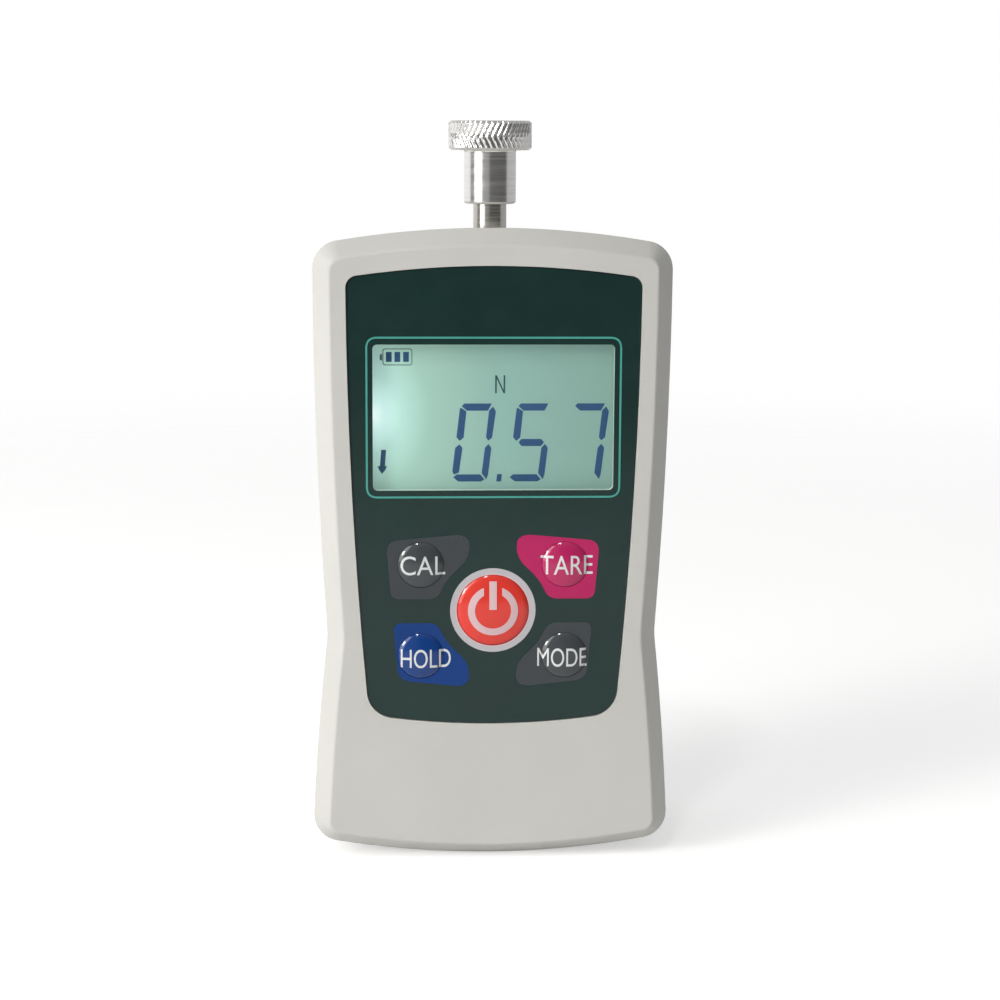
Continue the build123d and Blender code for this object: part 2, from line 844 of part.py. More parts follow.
def battery_springs():
    springs = []
    for i, x in enumerate(cell_columns):
        at_foot = i % 2 == 0
        base = bay_foot + contact_thickness if at_foot else bay_top - contact_thickness
        springs.append(leaf_spring(x, base, 1 if at_foot else -1))
    return springs


def battery_contacts():
    contacts = []
    for x in cell_columns:
        for z in (bay_foot, bay_top - contact_thickness):
            contacts.append(brick(x - contact_width / 2, x + contact_width / 2, cells_y - contact_depth / 2,
                                  cells_y + contact_depth / 2, z, z + contact_thickness))
    return contacts


# ---------------------------------------------------------------- measuring chain
def knurled_head():
    disc_foot = collar_foot + collar_height
    disc = rod(head_radius, disc_foot, head_top)
    disc = chamfer(disc.edges().filter_by(GeomType.CIRCLE), head_chamfer)
    collar = rod(collar_radius, collar_foot, disc_foot)
    collar = chamfer(collar.edges().filter_by(GeomType.CIRCLE).sort_by(Axis.Z)[0], collar_chamfer)
    bore = rod(stud_radius + thread_gap, collar_foot - through, collar_foot + head_bore_depth)
    return disc + collar - bore


def measuring_shaft():
    """Rod with a threaded stud at each end, for the load cell and for the head."""
    shaft = rod(shaft_radius, cell_block_top, collar_foot)
    shaft += rod(stud_radius, cell_block_top - arm_height + thread_relief, cell_block_top)
    return shaft + rod(stud_radius, collar_foot, collar_foot + head_bore_depth - stud_end_gap)


def guide_bush():
    bush = rod(bush_radius, bush_flange_foot, case_height - top_fall(bush_radius) - bush_top_gap)
    bush += rod(bush_flange_radius, bush_flange_foot, bush_flange_foot + bush_flange_thickness)
    return bush - rod(shaft_radius + bush_gap, bush_flange_foot - through, case_height + through)


def lock_nut():
    hexagon = RegularPolygon(nut_width / 2, 6, major_radius=False)
    nut = column(hexagon, cell_block_top, cell_block_top + nut_height)
    return nut - rod(shaft_radius, cell_block_top - through, cell_block_top + nut_height + through)


def stop_collars():
    """Collars on the shaft, below and above the bracket's flange, that limit its travel."""
    lower_foot = stop_flange_foot - stop_gap - stop_collar_height
    upper_foot = stop_flange_top + stop_gap
    return [
        cylinder_shell(stop_collar_radius, shaft_radius, foot, foot + stop_collar_height)
        for foot in (lower_foot, upper_foot)
    ]


def load_cell():
    """S-shaped block: two arms and a middle beam with two joined holes."""
    half_w, half_d = cell_block_width / 2, cell_block_depth / 2
    front, back = -half_d - through, half_d + through
    block = brick(-half_w, half_w, -half_d, half_d, cell_block_foot, cell_block_top)
    block -= brick(-half_w - through, half_w - link_width, front, back,
                   cell_block_top - arm_height - slot_height, cell_block_top - arm_height)
    block -= brick(-half_w + link_width, half_w + through, front, back,
                   cell_block_foot + arm_height, cell_block_foot + arm_height + slot_height)
    block -= brick(-flexure_pitch / 2, flexure_pitch / 2, front, back,
                   mount_centre - flexure_slot / 2, mount_centre + flexure_slot / 2)
    thread_depth = arm_height + cell_thread_room
    block -= rod(stud_radius, cell_block_top - thread_depth, cell_block_top + through)
    for side in (-1, 1):
        block -= drum(side * flexure_pitch / 2, mount_centre, flexure_radius, front, back)
        block -= rod(cell_screw_radius, cell_block_foot - through, cell_block_foot + thread_depth,
                     side * cell_screw_column)
    return block


def strain_gauges():
    """Foil gauges on the middle beam, over and under its two thinned places."""
    over = cell_block_top - arm_height - slot_height
    under = cell_block_foot + arm_height + slot_height - gauge_thickness
    foil = Rectangle(gauge_length, gauge_width)
    places = [(side * flexure_pitch / 2, foot) for side in (-1, 1) for foot in (over, under)]
    return [column(Pos(x, 0) * foil, foot, foot + gauge_thickness) for x, foot in places]


def load_cell_bracket():
    """C-shaped bracket: foot under the load cell, back plate and a top flange with the shaft's hole."""
    back_y = rear_y - insert_length
    foot_low = cell_block_foot - bracket_thickness
    height = stop_flange_top - foot_low
    window_height = 2 * (bracket_screw_row - bracket_boss_radius - bracket_window_gap)
    bracket = plate(mount_width + 2 * bracket_margin, height, bracket_round, 0, foot_low + height / 2,
                    back_y - bracket_thickness, back_y)
    bracket -= plate(bracket_window_width, window_height, bracket_round, 0, mount_centre, 0, back_y + through)
    half = cell_screw_column + cell_screw_head_radius + bracket_foot_margin
    front = -cell_block_depth / 2
    bracket += brick(-half, half, front, back_y, foot_low, cell_block_foot)
    bracket += brick(-half, half, front, back_y, stop_flange_foot, stop_flange_top)
    bracket -= rod(shaft_radius + stop_gap, stop_flange_foot - through, stop_flange_top + through)
    for x in (-cell_screw_column, cell_screw_column):
        bracket -= rod(cell_screw_radius + screw_clearance, foot_low - through, cell_block_foot + through, x)
    for x, z in mounts_at:
        bracket -= drum(x, z, insert_radius, 0, back_y + through)
    for x, z in bracket_screws_at:
        bracket -= drum(x, z, screw_radius + screw_clearance, 0, back_y + through)
    for x, z in case_screws_at:
        bracket -= drum(x, z, screw_tube_radius + bracket_notch_gap, 0, back_y + through)
    return bracket


def load_cell_screws():
    """Cap screws, up through the bracket's foot into the load cell."""
    seat = cell_block_foot - bracket_thickness
    head_foot = seat - cell_screw_head_height
    screws = []
    for x in (-cell_screw_column, cell_screw_column):
        hexagon = Pos(x, 0) * RegularPolygon(cell_screw_hex / 2, 6, major_radius=False)
        head = rod(cell_screw_head_radius, head_foot, seat, x)
        head -= column(hexagon, head_foot - through, head_foot + cell_screw_head_height / 2)
        screws.append(head + rod(cell_screw_radius, seat, cell_block_foot + cell_screw_bite, x))
    return screws


def mounting_inserts():
    """Threaded brass inserts, flush with the rear face."""
    ring = Circle(insert_radius) - Circle(insert_hole_radius)
    return [slab(Pos(x, z) * ring, rear_y - insert_length, rear_y) for x, z in mounts_at]


def bracket_screws():
    seat = rear_y - insert_length - bracket_thickness
    screws = []
    for x, z in bracket_screws_at:
        head = drum(x, z, bracket_screw_head_radius, seat - bracket_screw_head_height, seat)
        head = chamfer(at_depth(head, seat - bracket_screw_head_height), bracket_screw_chamfer)
        shank = drum(x, z, screw_radius * pilot_ratio, seat, seat + bracket_thickness + bracket_screw_bite)
        screws.append(head + shank)
    return screws


# ---------------------------------------------------------------- the set of parts
def pieces():
    """Every node's name and its solid or group of solids."""
    found = {
        "front_case": front_case(),
        "rear_case": rear_case(),
        "battery_door": battery_door(),
        "front_panel": front_panel(),
        "display_window": display_window(),
        "lcd_glass": lcd_glass(),
        "lcd_backlight": lcd_backlight(),
        "lcd_frame": lcd_frame(),
        "lcd_connectors": lcd_connectors(),
        "key_switches": key_switches(),
        "main_board": main_board(),
        "microcontroller": microcontroller(),
        "converter_chip": converter_chip(),
        "buzzer": buzzer(),
        "board_connectors": board_connectors(),
        "board_screws": board_screws(),
        "case_screws": case_screws(),
        "batteries": batteries(),
        "battery_springs": battery_springs(),
        "battery_contacts": battery_contacts(),
        "knurled_head": knurled_head(),
        "measuring_shaft": measuring_shaft(),
        "guide_bush": guide_bush(),
        "lock_nut": lock_nut(),
        "stop_collars": stop_collars(),
        "load_cell": load_cell(),
        "strain_gauges": strain_gauges(),
        "load_cell_bracket": load_cell_bracket(),
        "load_cell_screws": load_cell_screws(),
        "mounting_inserts": mounting_inserts(),
        "bracket_screws": bracket_screws(),
    }
    for name in key_places:
        found[f"key_{name}"] = key(name)
        found[f"plunger_{name}"] = plunger(name)
    return found


def write_parts():
    os.makedirs("parts", exist_ok=True)
    for name, shape in pieces().items():
        if isinstance(shape, list):
            shape = Compound(children=shape)
        export_step(shape, f"parts/{name}.step")


write_parts()
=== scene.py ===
import bmesh
import bpy
import json
import math
from mathutils import Matrix, Vector


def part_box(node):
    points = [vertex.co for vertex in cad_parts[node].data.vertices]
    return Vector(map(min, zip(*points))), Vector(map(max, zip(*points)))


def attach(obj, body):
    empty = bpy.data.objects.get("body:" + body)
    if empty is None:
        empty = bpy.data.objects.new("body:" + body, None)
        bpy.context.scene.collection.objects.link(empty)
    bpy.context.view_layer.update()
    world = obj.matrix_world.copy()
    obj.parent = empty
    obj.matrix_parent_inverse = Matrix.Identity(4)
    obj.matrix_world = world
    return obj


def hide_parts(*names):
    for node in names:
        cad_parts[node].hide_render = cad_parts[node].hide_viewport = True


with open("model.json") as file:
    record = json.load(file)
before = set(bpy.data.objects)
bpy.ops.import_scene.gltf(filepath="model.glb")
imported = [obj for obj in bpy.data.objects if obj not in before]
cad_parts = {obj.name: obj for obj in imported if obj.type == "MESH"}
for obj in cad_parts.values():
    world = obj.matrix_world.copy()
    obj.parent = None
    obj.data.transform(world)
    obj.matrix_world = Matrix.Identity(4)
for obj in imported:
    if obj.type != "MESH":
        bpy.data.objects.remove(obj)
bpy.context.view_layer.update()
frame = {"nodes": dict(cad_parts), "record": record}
nodes = frame["nodes"]

# Digital force gauge: X is its width, -Y its front and Z the measuring axis.
# Blender works in metres. Sizes and places of the object are in millimetres until MM turns them.
MM = 0.001


def span(node_name):
    """Lowest and highest corner of a CAD node, in millimetres."""
    low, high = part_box(node_name)
    return low / MM, high / MM


def middle(node_name):
    low, high = span(node_name)
    return (low + high) / 2


# ---------------------------------------------------------------- places taken from the frame
PANEL_Y = span("front_panel")[0].y
LCD_Y = span("lcd_glass")[0].y
(WINDOW_LEFT, _, WINDOW_LOW), (WINDOW_RIGHT, _, WINDOW_HIGH) = span("display_window")
KEYS = {name: middle(f"key_{name}") for name in ("set", "zero", "peak", "unit", "power")}
KEY_FLANGE, KEY_FLANGE_THICK = 0.9, 0.8     # collar of a key behind the panel
KEY_CROWN = 0.75            # height of a key's dome
KEY_RIM = 0.9               # a key's dome grows steeper over this width at its rim
KEY_RIM_SLOPE = 0.84        # and is this steep at its edge
KEY_RADIUS = {name: span(f"key_{name}")[1].x - KEYS[name].x - KEY_FLANGE for name in KEYS}
POWER_Z = KEYS["power"].z


def add_object(name, data, matrix=None):
    made = bpy.data.objects.new(name, data)
    bpy.context.scene.collection.objects.link(made)
    if matrix is not None:
        made.matrix_world = matrix
    return made


# ---------------------------------------------------------------- camera
CAMERA_PLACE = Vector((-19.56, -413.8, 133.28)) * MM
CAMERA_YAW, CAMERA_PITCH, CAMERA_ROLL = math.radians(3.0), math.radians(9.645), math.radians(0.306)
CAMERA_LENS = 82.03


def add_camera():
    """Camera a little to the left of the object, turned right, tilted down and rolled by small angles."""
    level = Vector((math.sin(CAMERA_YAW), math.cos(CAMERA_YAW), 0))
    ahead = level * math.cos(CAMERA_PITCH) + Vector((0, 0, -math.sin(CAMERA_PITCH)))
    right = Vector((level.y, -level.x, 0))
    up = right.cross(ahead)
    rolled_right = right * math.cos(CAMERA_ROLL) + up * math.sin(CAMERA_ROLL)
    rolled_up = up * math.cos(CAMERA_ROLL) - right * math.sin(CAMERA_ROLL)
    data = bpy.data.cameras.new("camera")
    data.lens = CAMERA_LENS
    data.clip_start = 0.01
    axes = Matrix((rolled_right, rolled_up, -ahead)).transposed().to_4x4()
    bpy.context.scene.camera = add_object("camera", data, Matrix.Translation(CAMERA_PLACE) @ axes)


# ---------------------------------------------------------------- node helpers
def add_node(tree, kind, **settings):
    made = tree.nodes.new(kind)
    for key, value in settings.items():
        setattr(made, key, value)
    return made


def feed(tree, socket, value):
    """Give an input another node's output, or a plain value."""
    if isinstance(value, bpy.types.NodeSocket):
        tree.links.new(value, socket)
    else:
        socket.default_value = value


def math_node(tree, operation, *values):
    """Result of a math node on sockets or numbers."""
    made = add_node(tree, "ShaderNodeMath", operation=operation)
    for socket, value in zip(made.inputs, values):
        feed(tree, socket, value)
    return made.outputs["Value"]


def mixed(tree, share, first, second, blend="MIX", kind="RGBA"):
    """Result of a mix node on sockets or values."""
    made = add_node(tree, "ShaderNodeMix", data_type=kind, blend_type=blend)
    for name, value in (("Factor", share), ("A", first), ("B", second)):
        feed(tree, made.inputs[name], value)
    return made.outputs["Result"]


def grey(level):
    return (level, level, level, 1)


def ramp(tree, value, stops):
    """Colours over a value: stops are (position, colour or grey)."""
    made = add_node(tree, "ShaderNodeValToRGB")
    elements = made.color_ramp.elements
    while len(elements) < len(stops):
        elements.new(0.5)
    for element, (position, color) in zip(elements, stops):
        element.position = position
        element.color = grey(color) if isinstance(color, float) else (*color, 1)
    tree.links.new(value, made.inputs["Fac"])
    return made.outputs["Color"]


def object_place(tree):
    return add_node(tree, "ShaderNodeTexCoord").outputs["Object"]


def place_along(tree, axis):
    """One of the object coordinates X, Y, Z, in metres."""
    parts = add_node(tree, "ShaderNodeSeparateXYZ")
    tree.links.new(object_place(tree), parts.inputs["Vector"])
    return parts.outputs[axis]


def share_along(tree, axis, low, high):
    """How far a point lies from low to high along an axis, from 0 to 1; low and high in millimetres."""
    share = add_node(tree, "ShaderNodeMapRange")
    share.inputs["From Min"].default_value = low * MM
    share.inputs["From Max"].default_value = high * MM
    tree.links.new(place_along(tree, axis), share.inputs["Value"])
    return share.outputs["Result"]


def vector_node(tree, operation, value, vector=None, result="Vector"):
    made = add_node(tree, "ShaderNodeVectorMath", operation=operation)
    tree.links.new(value, made.inputs[0])
    if vector is not None:
        made.inputs[1].default_value = vector
    return made.outputs[result]


def noise(tree, scale, detail=3.0, stretch=(1, 1, 1)):
    """Noise in object coordinates, scale in cells per metre."""
    mapping = add_node(tree, "ShaderNodeMapping")
    mapping.inputs["Scale"].default_value = stretch
    texture = add_node(tree, "ShaderNodeTexNoise")
    texture.inputs["Scale"].default_value = scale
    texture.inputs["Detail"].default_value = detail
    tree.links.new(object_place(tree), mapping.inputs["Vector"])
    tree.links.new(mapping.outputs["Vector"], texture.inputs["Vector"])
    return texture.outputs["Fac"]


def principled(name, color, roughness, metallic=0.0, specular=0.5):
    """New material, its node tree and its shader."""
    m = bpy.data.materials.new(name)
    m.use_nodes = True
    shader = m.node_tree.nodes["Principled BSDF"]
    shader.inputs["Base Color"].default_value = (*color, 1)
    shader.inputs["Roughness"].default_value = roughness
    shader.inputs["Metallic"].default_value = metallic
    shader.inputs["Specular IOR Level"].default_value = specular
    return m, m.node_tree, shader


def tint(tree, shader, color, change, scale, stretch=(1, 1, 1)):
    """Base colour that wanders by a share of itself."""
    low = tuple(c * (1 - change) for c in color)
    high = tuple(min(1.0, c * (1 + change)) for c in color)
    wander = ramp(tree, noise(tree, scale, 4.0, stretch), [(0.35, low), (0.65, high)])
    tree.links.new(wander, shader.inputs["Base Color"])


def uneven_gloss(tree, shader, low, high, scale, stretch=(1, 1, 1)):
    """Roughness that wanders between two values."""
    wander = ramp(tree, noise(tree, scale, 4.0, stretch), [(0.35, float(low)), (0.65, float(high))])
    tree.links.new(wander, shader.inputs["Roughness"])


def bump(tree, shader, height_value, depth, strength=0.5):
    made = add_node(tree, "ShaderNodeBump")
    made.inputs["Strength"].default_value = strength
    made.inputs["Distance"].default_value = depth
    tree.links.new(height_value, made.inputs["Height"])
    tree.links.new(made.outputs["Normal"], shader.inputs["Normal"])


def plastic(name, color, roughness, change=0.04, grain=0.0, grain_scale=2500, specular=0.5):
    """Moulded or printed plastic with faint mottling and an optional fine grain."""
    m, tree, shader = principled(name, color, roughness, specular=specular)
    tint(tree, shader, color, change, 60)
    uneven_gloss(tree, shader, roughness * 0.9, min(1.0, roughness * 1.1), 180)
    if grain:
        bump(tree, shader, noise(tree, grain_scale, 2.0), grain)
    return m


def metal(name, color, roughness, stretch=(1, 1, 1), brush=0.0, scale=900):
    """Metal with tool marks that run along the axes that stretch squeezes."""
    m, tree, shader = principled(name, color, roughness, metallic=1.0)
    tint(tree, shader, color, 0.05, scale, stretch)
    uneven_gloss(tree, shader, roughness * 0.75, roughness * 1.3, scale, stretch)
    if brush:
        bump(tree, shader, noise(tree, scale * 2, 2.0, stretch), brush)
    return m


# ---------------------------------------------------------------- studio: floor, world and lamps
FLOOR_RADIUS = 1.6                  # metres
FLOOR_FADE = (0.22, 0.75)           # metres from the middle over which the floor melts into the backdrop
BACKDROP = (1.0, 1.0, 1.0)
# Brightness round the object by azimuth: 0 and 1 are behind it, 0.25 is at its left, 0.5 in front of it
# and 0.75 at its right.
ROOM = [(0.0, 0.9), (0.215, 0.9), (0.235, 0.26), (0.29, 0.26), (0.40, 0.31), (0.47, 0.31), (0.50, 0.11),
        (0.70, 0.10), (0.73, 0.46), (1.0, 0.5)]
ROOM_ABOVE, ABOVE_FADE = 0.38, [(0.35, 0.0), (0.85, 1.0)]     # by the height of the direction
ROOM_BELOW, BELOW_FADE = 0.22, [(0.06, 0.0), (0.3, 1.0)]      # by how far the direction falls
FLOOR_WHITE = (0.8, 0.8, 0.8)
FLOOR_SEEN, FLOOR_CAST = 0.45, 0.1  # glow of the floor, to the camera and to the object
LAMP_AIM = Vector((0, 0, 0.06))
WARM, WHITE = (1.0, 0.985, 0.955), (1, 1, 1)
# Name, place and size in metres, power in watts, colour.
LAMPS = [("key_light", (-0.85, -0.57, 0.48), (0.66, 1.0), 6.7, WARM),
         ("key_lamp", (-0.84, -0.56, 0.44), (0.24, 0.24), 3.3, WARM),
         ("top_lamp", (-0.2, -0.6, 1.0), (0.12, 0.12), 1.5, WHITE)]


def area_light(name, place, size, power, color):
    data = bpy.data.lights.new(name, "AREA")
    data.shape = "RECTANGLE"
    data.size, data.size_y = size
    data.energy = power
    data.color = color
    turn = (LAMP_AIM - Vector(place)).to_track_quat("-Z", "Y").to_matrix().to_4x4()
    add_object(name, data, Matrix.Translation(Vector(place)) @ turn)


def studio_world():
    """White backdrop, and a room round the object that is darker towards the right front."""
    world = bpy.data.worlds.new("studio")
    bpy.context.scene.world = world
    world.use_nodes = True
    tree = world.node_tree
    background = tree.nodes["Background"]
    coords = add_node(tree, "ShaderNodeTexCoord")
    parts = add_node(tree, "ShaderNodeSeparateXYZ")
    tree.links.new(coords.outputs["Generated"], parts.inputs["Vector"])
    azimuth = math_node(tree, "ARCTAN2", math_node(tree, "MULTIPLY", parts.outputs["X"], -1.0),
                        parts.outputs["Y"])
    turn = math_node(tree, "FRACT", math_node(tree, "DIVIDE", azimuth, 2 * math.pi))
    above = ramp(tree, parts.outputs["Z"], ABOVE_FADE)
    below = ramp(tree, math_node(tree, "MULTIPLY", parts.outputs["Z"], -1.0), BELOW_FADE)
    level = ramp(tree, turn, ROOM)
    for share, brightness in ((above, ROOM_ABOVE), (below, ROOM_BELOW)):
        level = mixed(tree, share, level, grey(brightness))
    seen = add_node(tree, "ShaderNodeLightPath").outputs["Is Camera Ray"]
    tree.links.new(mixed(tree, seen, level, (*BACKDROP, 1)), background.inputs["Color"])


def floor_material():
    """Pale matt floor that melts into the backdrop."""
    m, tree, shader = principled("floor", FLOOR_WHITE, 0.7, specular=0.2)
    tint(tree, shader, FLOOR_WHITE, 0.01, 3.0)
    shader.inputs["Emission Color"].default_value = (1, 1, 1, 1)
    seen = add_node(tree, "ShaderNodeLightPath").outputs["Is Camera Ray"]
    glow = math_node(tree, "MULTIPLY_ADD", seen, FLOOR_SEEN - FLOOR_CAST, FLOOR_CAST)
    tree.links.new(glow, shader.inputs["Emission Strength"])
    reach = add_node(tree, "ShaderNodeMapRange", interpolation_type="SMOOTHSTEP")
    reach.inputs["From Min"].default_value, reach.inputs["From Max"].default_value = FLOOR_FADE
    tree.links.new(vector_node(tree, "LENGTH", object_place(tree), result="Value"), reach.inputs["Value"])
    gone = add_node(tree, "ShaderNodeBsdfTransparent")
    mix = add_node(tree, "ShaderNodeMixShader")
    tree.links.new(reach.outputs["Result"], mix.inputs["Fac"])
    tree.links.new(shader.outputs["BSDF"], mix.inputs[1])
    tree.links.new(gone.outputs["BSDF"], mix.inputs[2])
    tree.links.new(mix.outputs["Shader"], tree.nodes["Material Output"].inputs["Surface"])
    return m


def add_studio():
    studio_world()
    bm = bmesh.new()
    bmesh.ops.create_circle(bm, cap_ends=True, segments=64, radius=FLOOR_RADIUS)
    mesh = bpy.data.meshes.new("floor")
    bm.to_mesh(mesh)
    bm.free()
    mesh.materials.append(floor_material())
    floor = add_object("floor", mesh)
    for lamp in LAMPS:
        area_light(*lamp)
    bpy.context.scene.view_settings.view_transform = "Standard"


# ---------------------------------------------------------------- flat shapes and prints
CORNER_REACH = 0.48         # share of an edge that the bend at one of its ends may take up
ARC_REACH = 1.3             # a bend this many radii long looks like an arc of that radius


def softened(points, radii, steps=8):
    """Polygon whose corners are cut back by their radii and bridged with a smooth bend."""
    result = []
    count = len(points)
    for i, (point, radius) in enumerate(zip(points, radii)):
        point, before, after = Vector(point), Vector(points[i - 1]), Vector(points[(i + 1) % count])
        if radius <= 0:
            result.append(tuple(point))
            continue
        back, on = before - point, after - point
        start = point + back.normalized() * min(radius, back.length * CORNER_REACH)
        end = point + on.normalized() * min(radius, on.length * CORNER_REACH)
        for k in range(steps + 1):
            t = k / steps
            result.append(tuple(start * (1 - t) ** 2 + point * 2 * t * (1 - t) + end * t ** 2))
    return result


def turns(count):
    """Angles of a full turn in equal steps."""
    return [2 * math.pi * i / count for i in range(count)]


def arc(cx, cz, radius, start, stop, count):
    """Points of an arc, ends included, angles in radians from the +X side."""
    steps = [start + (stop - start) * i / count for i in range(count + 1)]
    return [(cx + radius * math.cos(a), cz + radius * math.sin(a)) for a in steps]


def circle(cx, cz, radius, count=96):
    return arc(cx, cz, radius, 0, 2 * math.pi, count)[:-1]


def rounded_box(cx, cz, width, height, radius):
    left, right, low, high = cx - width / 2, cx + width / 2, cz - height / 2, cz + height / 2
    corners = [(left, low), (right, low), (right, high), (left, high)]
    return softened(corners, [radius * ARC_REACH] * 4)


def box_outline(left, right, low, high, lean=0.0):
    """Box whose top is shifted to the right by lean."""
    return [(left, low), (right, low), (right + lean, high), (left + lean, high)]


def flat_face(outline, holes=()):
    """Mesh of one outline with holes, in the XZ plane, in millimetres."""
    bm = bmesh.new()
    edges = []
    for loop in [outline, *holes]:
        verts = [bm.verts.new((x, 0, z)) for x, z in loop]
        edges += [bm.edges.new(pair) for pair in zip(verts, verts[1:] + verts[:1])]
    bmesh.ops.triangle_fill(bm, use_beauty=True, use_dissolve=False, edges=edges)
    return bm


def cut(bm, point, normal, clear=False):
    """Split the mesh along a plane, or keep only what lies behind it."""
    everything = bm.verts[:] + bm.edges[:] + bm.faces[:]
    bmesh.ops.bisect_plane(bm, geom=everything, dist=1e-6, plane_co=point, plane_no=normal, clear_outer=clear)


def cut_grid(bm, pitch):
    """Split the mesh into cells small enough to follow a dome."""
    for axis, normal in ((0, (1, 0, 0)), (2, (0, 0, 1))):
        places = [v.co[axis] for v in bm.verts]
        line = math.floor(min(places) / pitch) * pitch + pitch
        while line < max(places):
            cut(bm, [line if i == axis else 0 for i in range(3)], normal)
            line += pitch


def ring_planes(cx, cz, radius, sides=72):
    """Planes that touch a circle all round."""
    for angle in turns(sides):
        out = Vector((math.cos(angle), 0, math.sin(angle)))
        yield Vector((cx, 0, cz)) + out * radius, out


def keep_inside(bm, cx, cz, radius):
    """Cut away everything outside a circle."""
    for point, out in ring_planes(cx, cz, radius):
        cut(bm, point, out, clear=True)


def keep_outside(bm, cx, cz, radius):
    """Cut the circle's outline into the mesh and remove what lies within."""
    for point, out in ring_planes(cx, cz, radius):
        cut(bm, point, out)
    centre = Vector((cx, 0, cz))
    within = [f for f in bm.faces if (f.calc_center_median() - centre).length < radius]
    bmesh.ops.delete(bm, geom=within, context="FACES")


def flat_at(y):
    """Surface that stands at one depth over the XZ plane."""
    return lambda x, z: y


def dome_depth(key, off):
    """How far a key's face lies behind its highest point, at a distance from its axis."""
    radius = KEY_RADIUS[key]
    ball = (radius ** 2 + KEY_CROWN ** 2) / (2 * KEY_CROWN)
    bend_start = radius - KEY_RIM
    inner = min(off, bend_start)
    depth = ball - math.sqrt(ball ** 2 - inner ** 2)
    if off <= bend_start:
        return depth
    slope = bend_start / math.sqrt(ball ** 2 - bend_start ** 2)
    past = min(off, radius) - bend_start
    return depth + slope * past + (KEY_RIM_SLOPE - slope) * past ** 2 / (2 * KEY_RIM)


def dome_of(key):
    """Surface of a key's face over the XZ plane."""
    top_y = span(f"key_{key}")[0].y
    centre = KEYS[key]
    return lambda x, z: top_y + dome_depth(key, math.hypot(x - centre.x, z - centre.z))


def lay(bm, name, surface, thickness, body, material):
    """Turn a flat mesh into a thin print that follows a surface, and add it to the scene."""
    bmesh.ops.recalc_face_normals(bm, faces=bm.faces)
    if sum(face.normal.y * face.calc_area() for face in bm.faces) > 0:
        bmesh.ops.reverse_faces(bm, faces=bm.faces)
    front = bmesh.ops.extrude_face_region(bm, geom=bm.faces[:])
    raised = {v for v in front["geom"] if isinstance(v, bmesh.types.BMVert)}
    for v in bm.verts:
        v.co.y = surface(v.co.x, v.co.z) - (thickness if v in raised else 0)
    bmesh.ops.recalc_face_normals(bm, faces=bm.faces)
    bmesh.ops.scale(bm, vec=(MM, MM, MM), verts=bm.verts)
    return add_piece(bm, name, body, material)


def add_piece(bm, name, body, material, smooth=False):
    """Object of the mesh, in metres, that moves with a body."""
    mesh = bpy.data.meshes.new(name)
    bm.to_mesh(mesh)
    bm.free()
    mesh.materials.append(material)
    if smooth:
        mesh.shade_smooth()
    made = add_object(name, mesh)
    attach(made, body)
    return made


def skin(rings):
    """Quads between closed rings of points in metres, and the mesh's points ring by ring."""
    bm = bmesh.new()
    made = [[bm.verts.new(point) for point in ring] for ring in rings]
    for lower, upper in zip(made, made[1:]):
        for corners in zip(lower, lower[1:] + lower[:1], upper[1:] + upper[:1], upper):
            bm.faces.new(corners)
    return bm, made


# ---------------------------------------------------------------- materials of the record's slots
CASE_GREY = (0.62, 0.615, 0.585)
PANEL_GREEN = (0.008, 0.031, 0.027)
KEY_GREY = (0.056, 0.064, 0.070)
KEY_MAGENTA = (0.50, 0.018, 0.120)
KEY_BLUE = (0.004, 0.045, 0.220)
KEY_RED = (0.78, 0.045, 0.030)


def case_plastic():
    """Moulded plastic with a fine spark texture and faint handling marks."""
    m, tree, shader = principled("case_plastic", CASE_GREY, 0.5, specular=0.35)
    tint(tree, shader, CASE_GREY, 0.02, 45)
    uneven_gloss(tree, shader, 0.45, 0.6, 300)
    bump(tree, shader, noise(tree, 3200, 2.0), 0.00004, 0.35)
    return m


def panel_green():
    """Glossy dark sheet, a little uneven."""
    m, tree, shader = principled("panel_green", PANEL_GREEN, 0.16, specular=0.45)
    tint(tree, shader, PANEL_GREEN, 0.08, 90)
    uneven_gloss(tree, shader, 0.12, 0.2, 240)
    bump(tree, shader, noise(tree, 110, 2.0), 0.00001, 0.2)
    return m


def window_clear():
    """Clear acrylic: see-through, with a gloss that grows toward the edges."""
    m, tree, shader = principled("window_clear", (0.95, 1.0, 0.98), 0.03)
    uneven_gloss(tree, shader, 0.02, 0.05, 200)
    clear = add_node(tree, "ShaderNodeBsdfTransparent")
    clear.inputs["Color"].default_value = (0.97, 0.99, 0.98, 1)
    gloss = add_node(tree, "ShaderNodeLayerWeight")
    gloss.inputs["Blend"].default_value = 0.08
    mix = add_node(tree, "ShaderNodeMixShader")
    tree.links.new(gloss.outputs["Fresnel"], mix.inputs["Fac"])
    tree.links.new(clear.outputs["BSDF"], mix.inputs[1])
    tree.links.new(shader.outputs["BSDF"], mix.inputs[2])
    tree.links.new(mix.outputs["Shader"], tree.nodes["Material Output"].inputs["Surface"])
    return m


LCD_LAMP_Z = WINDOW_LOW + 13.1      # height of the lamp that lights the cell from its left edge
LCD_GLOW_REACH = 42.4               # how far its glow is followed
LCD_GLOW_TALL = 0.75                # height counts less than width in that distance
LCD_LIT = 0.42                      # share of the cell's own colour that it glows with all over
# Colours of the cell from left to right, darker toward the right as a painted fall-off of the lamp's light,
# and of the lamp's glow by distance.
LCD_PAINTED_FALLOFF_ACROSS = [(0.0, (0.33, 0.50, 0.42)), (0.3, (0.285, 0.43, 0.372)), (0.55, (0.25, 0.40, 0.365)),
              (0.8, (0.23, 0.36, 0.325)), (1.0, (0.22, 0.345, 0.31))]
LCD_GLOW = [(0.0, (0.62, 0.66, 0.68)), (0.05, (0.36, 0.46, 0.50)), (0.12, (0.16, 0.23, 0.25)),
            (0.24, (0.035, 0.06, 0.06)), (0.5, (0.0, 0.0, 0.0))]


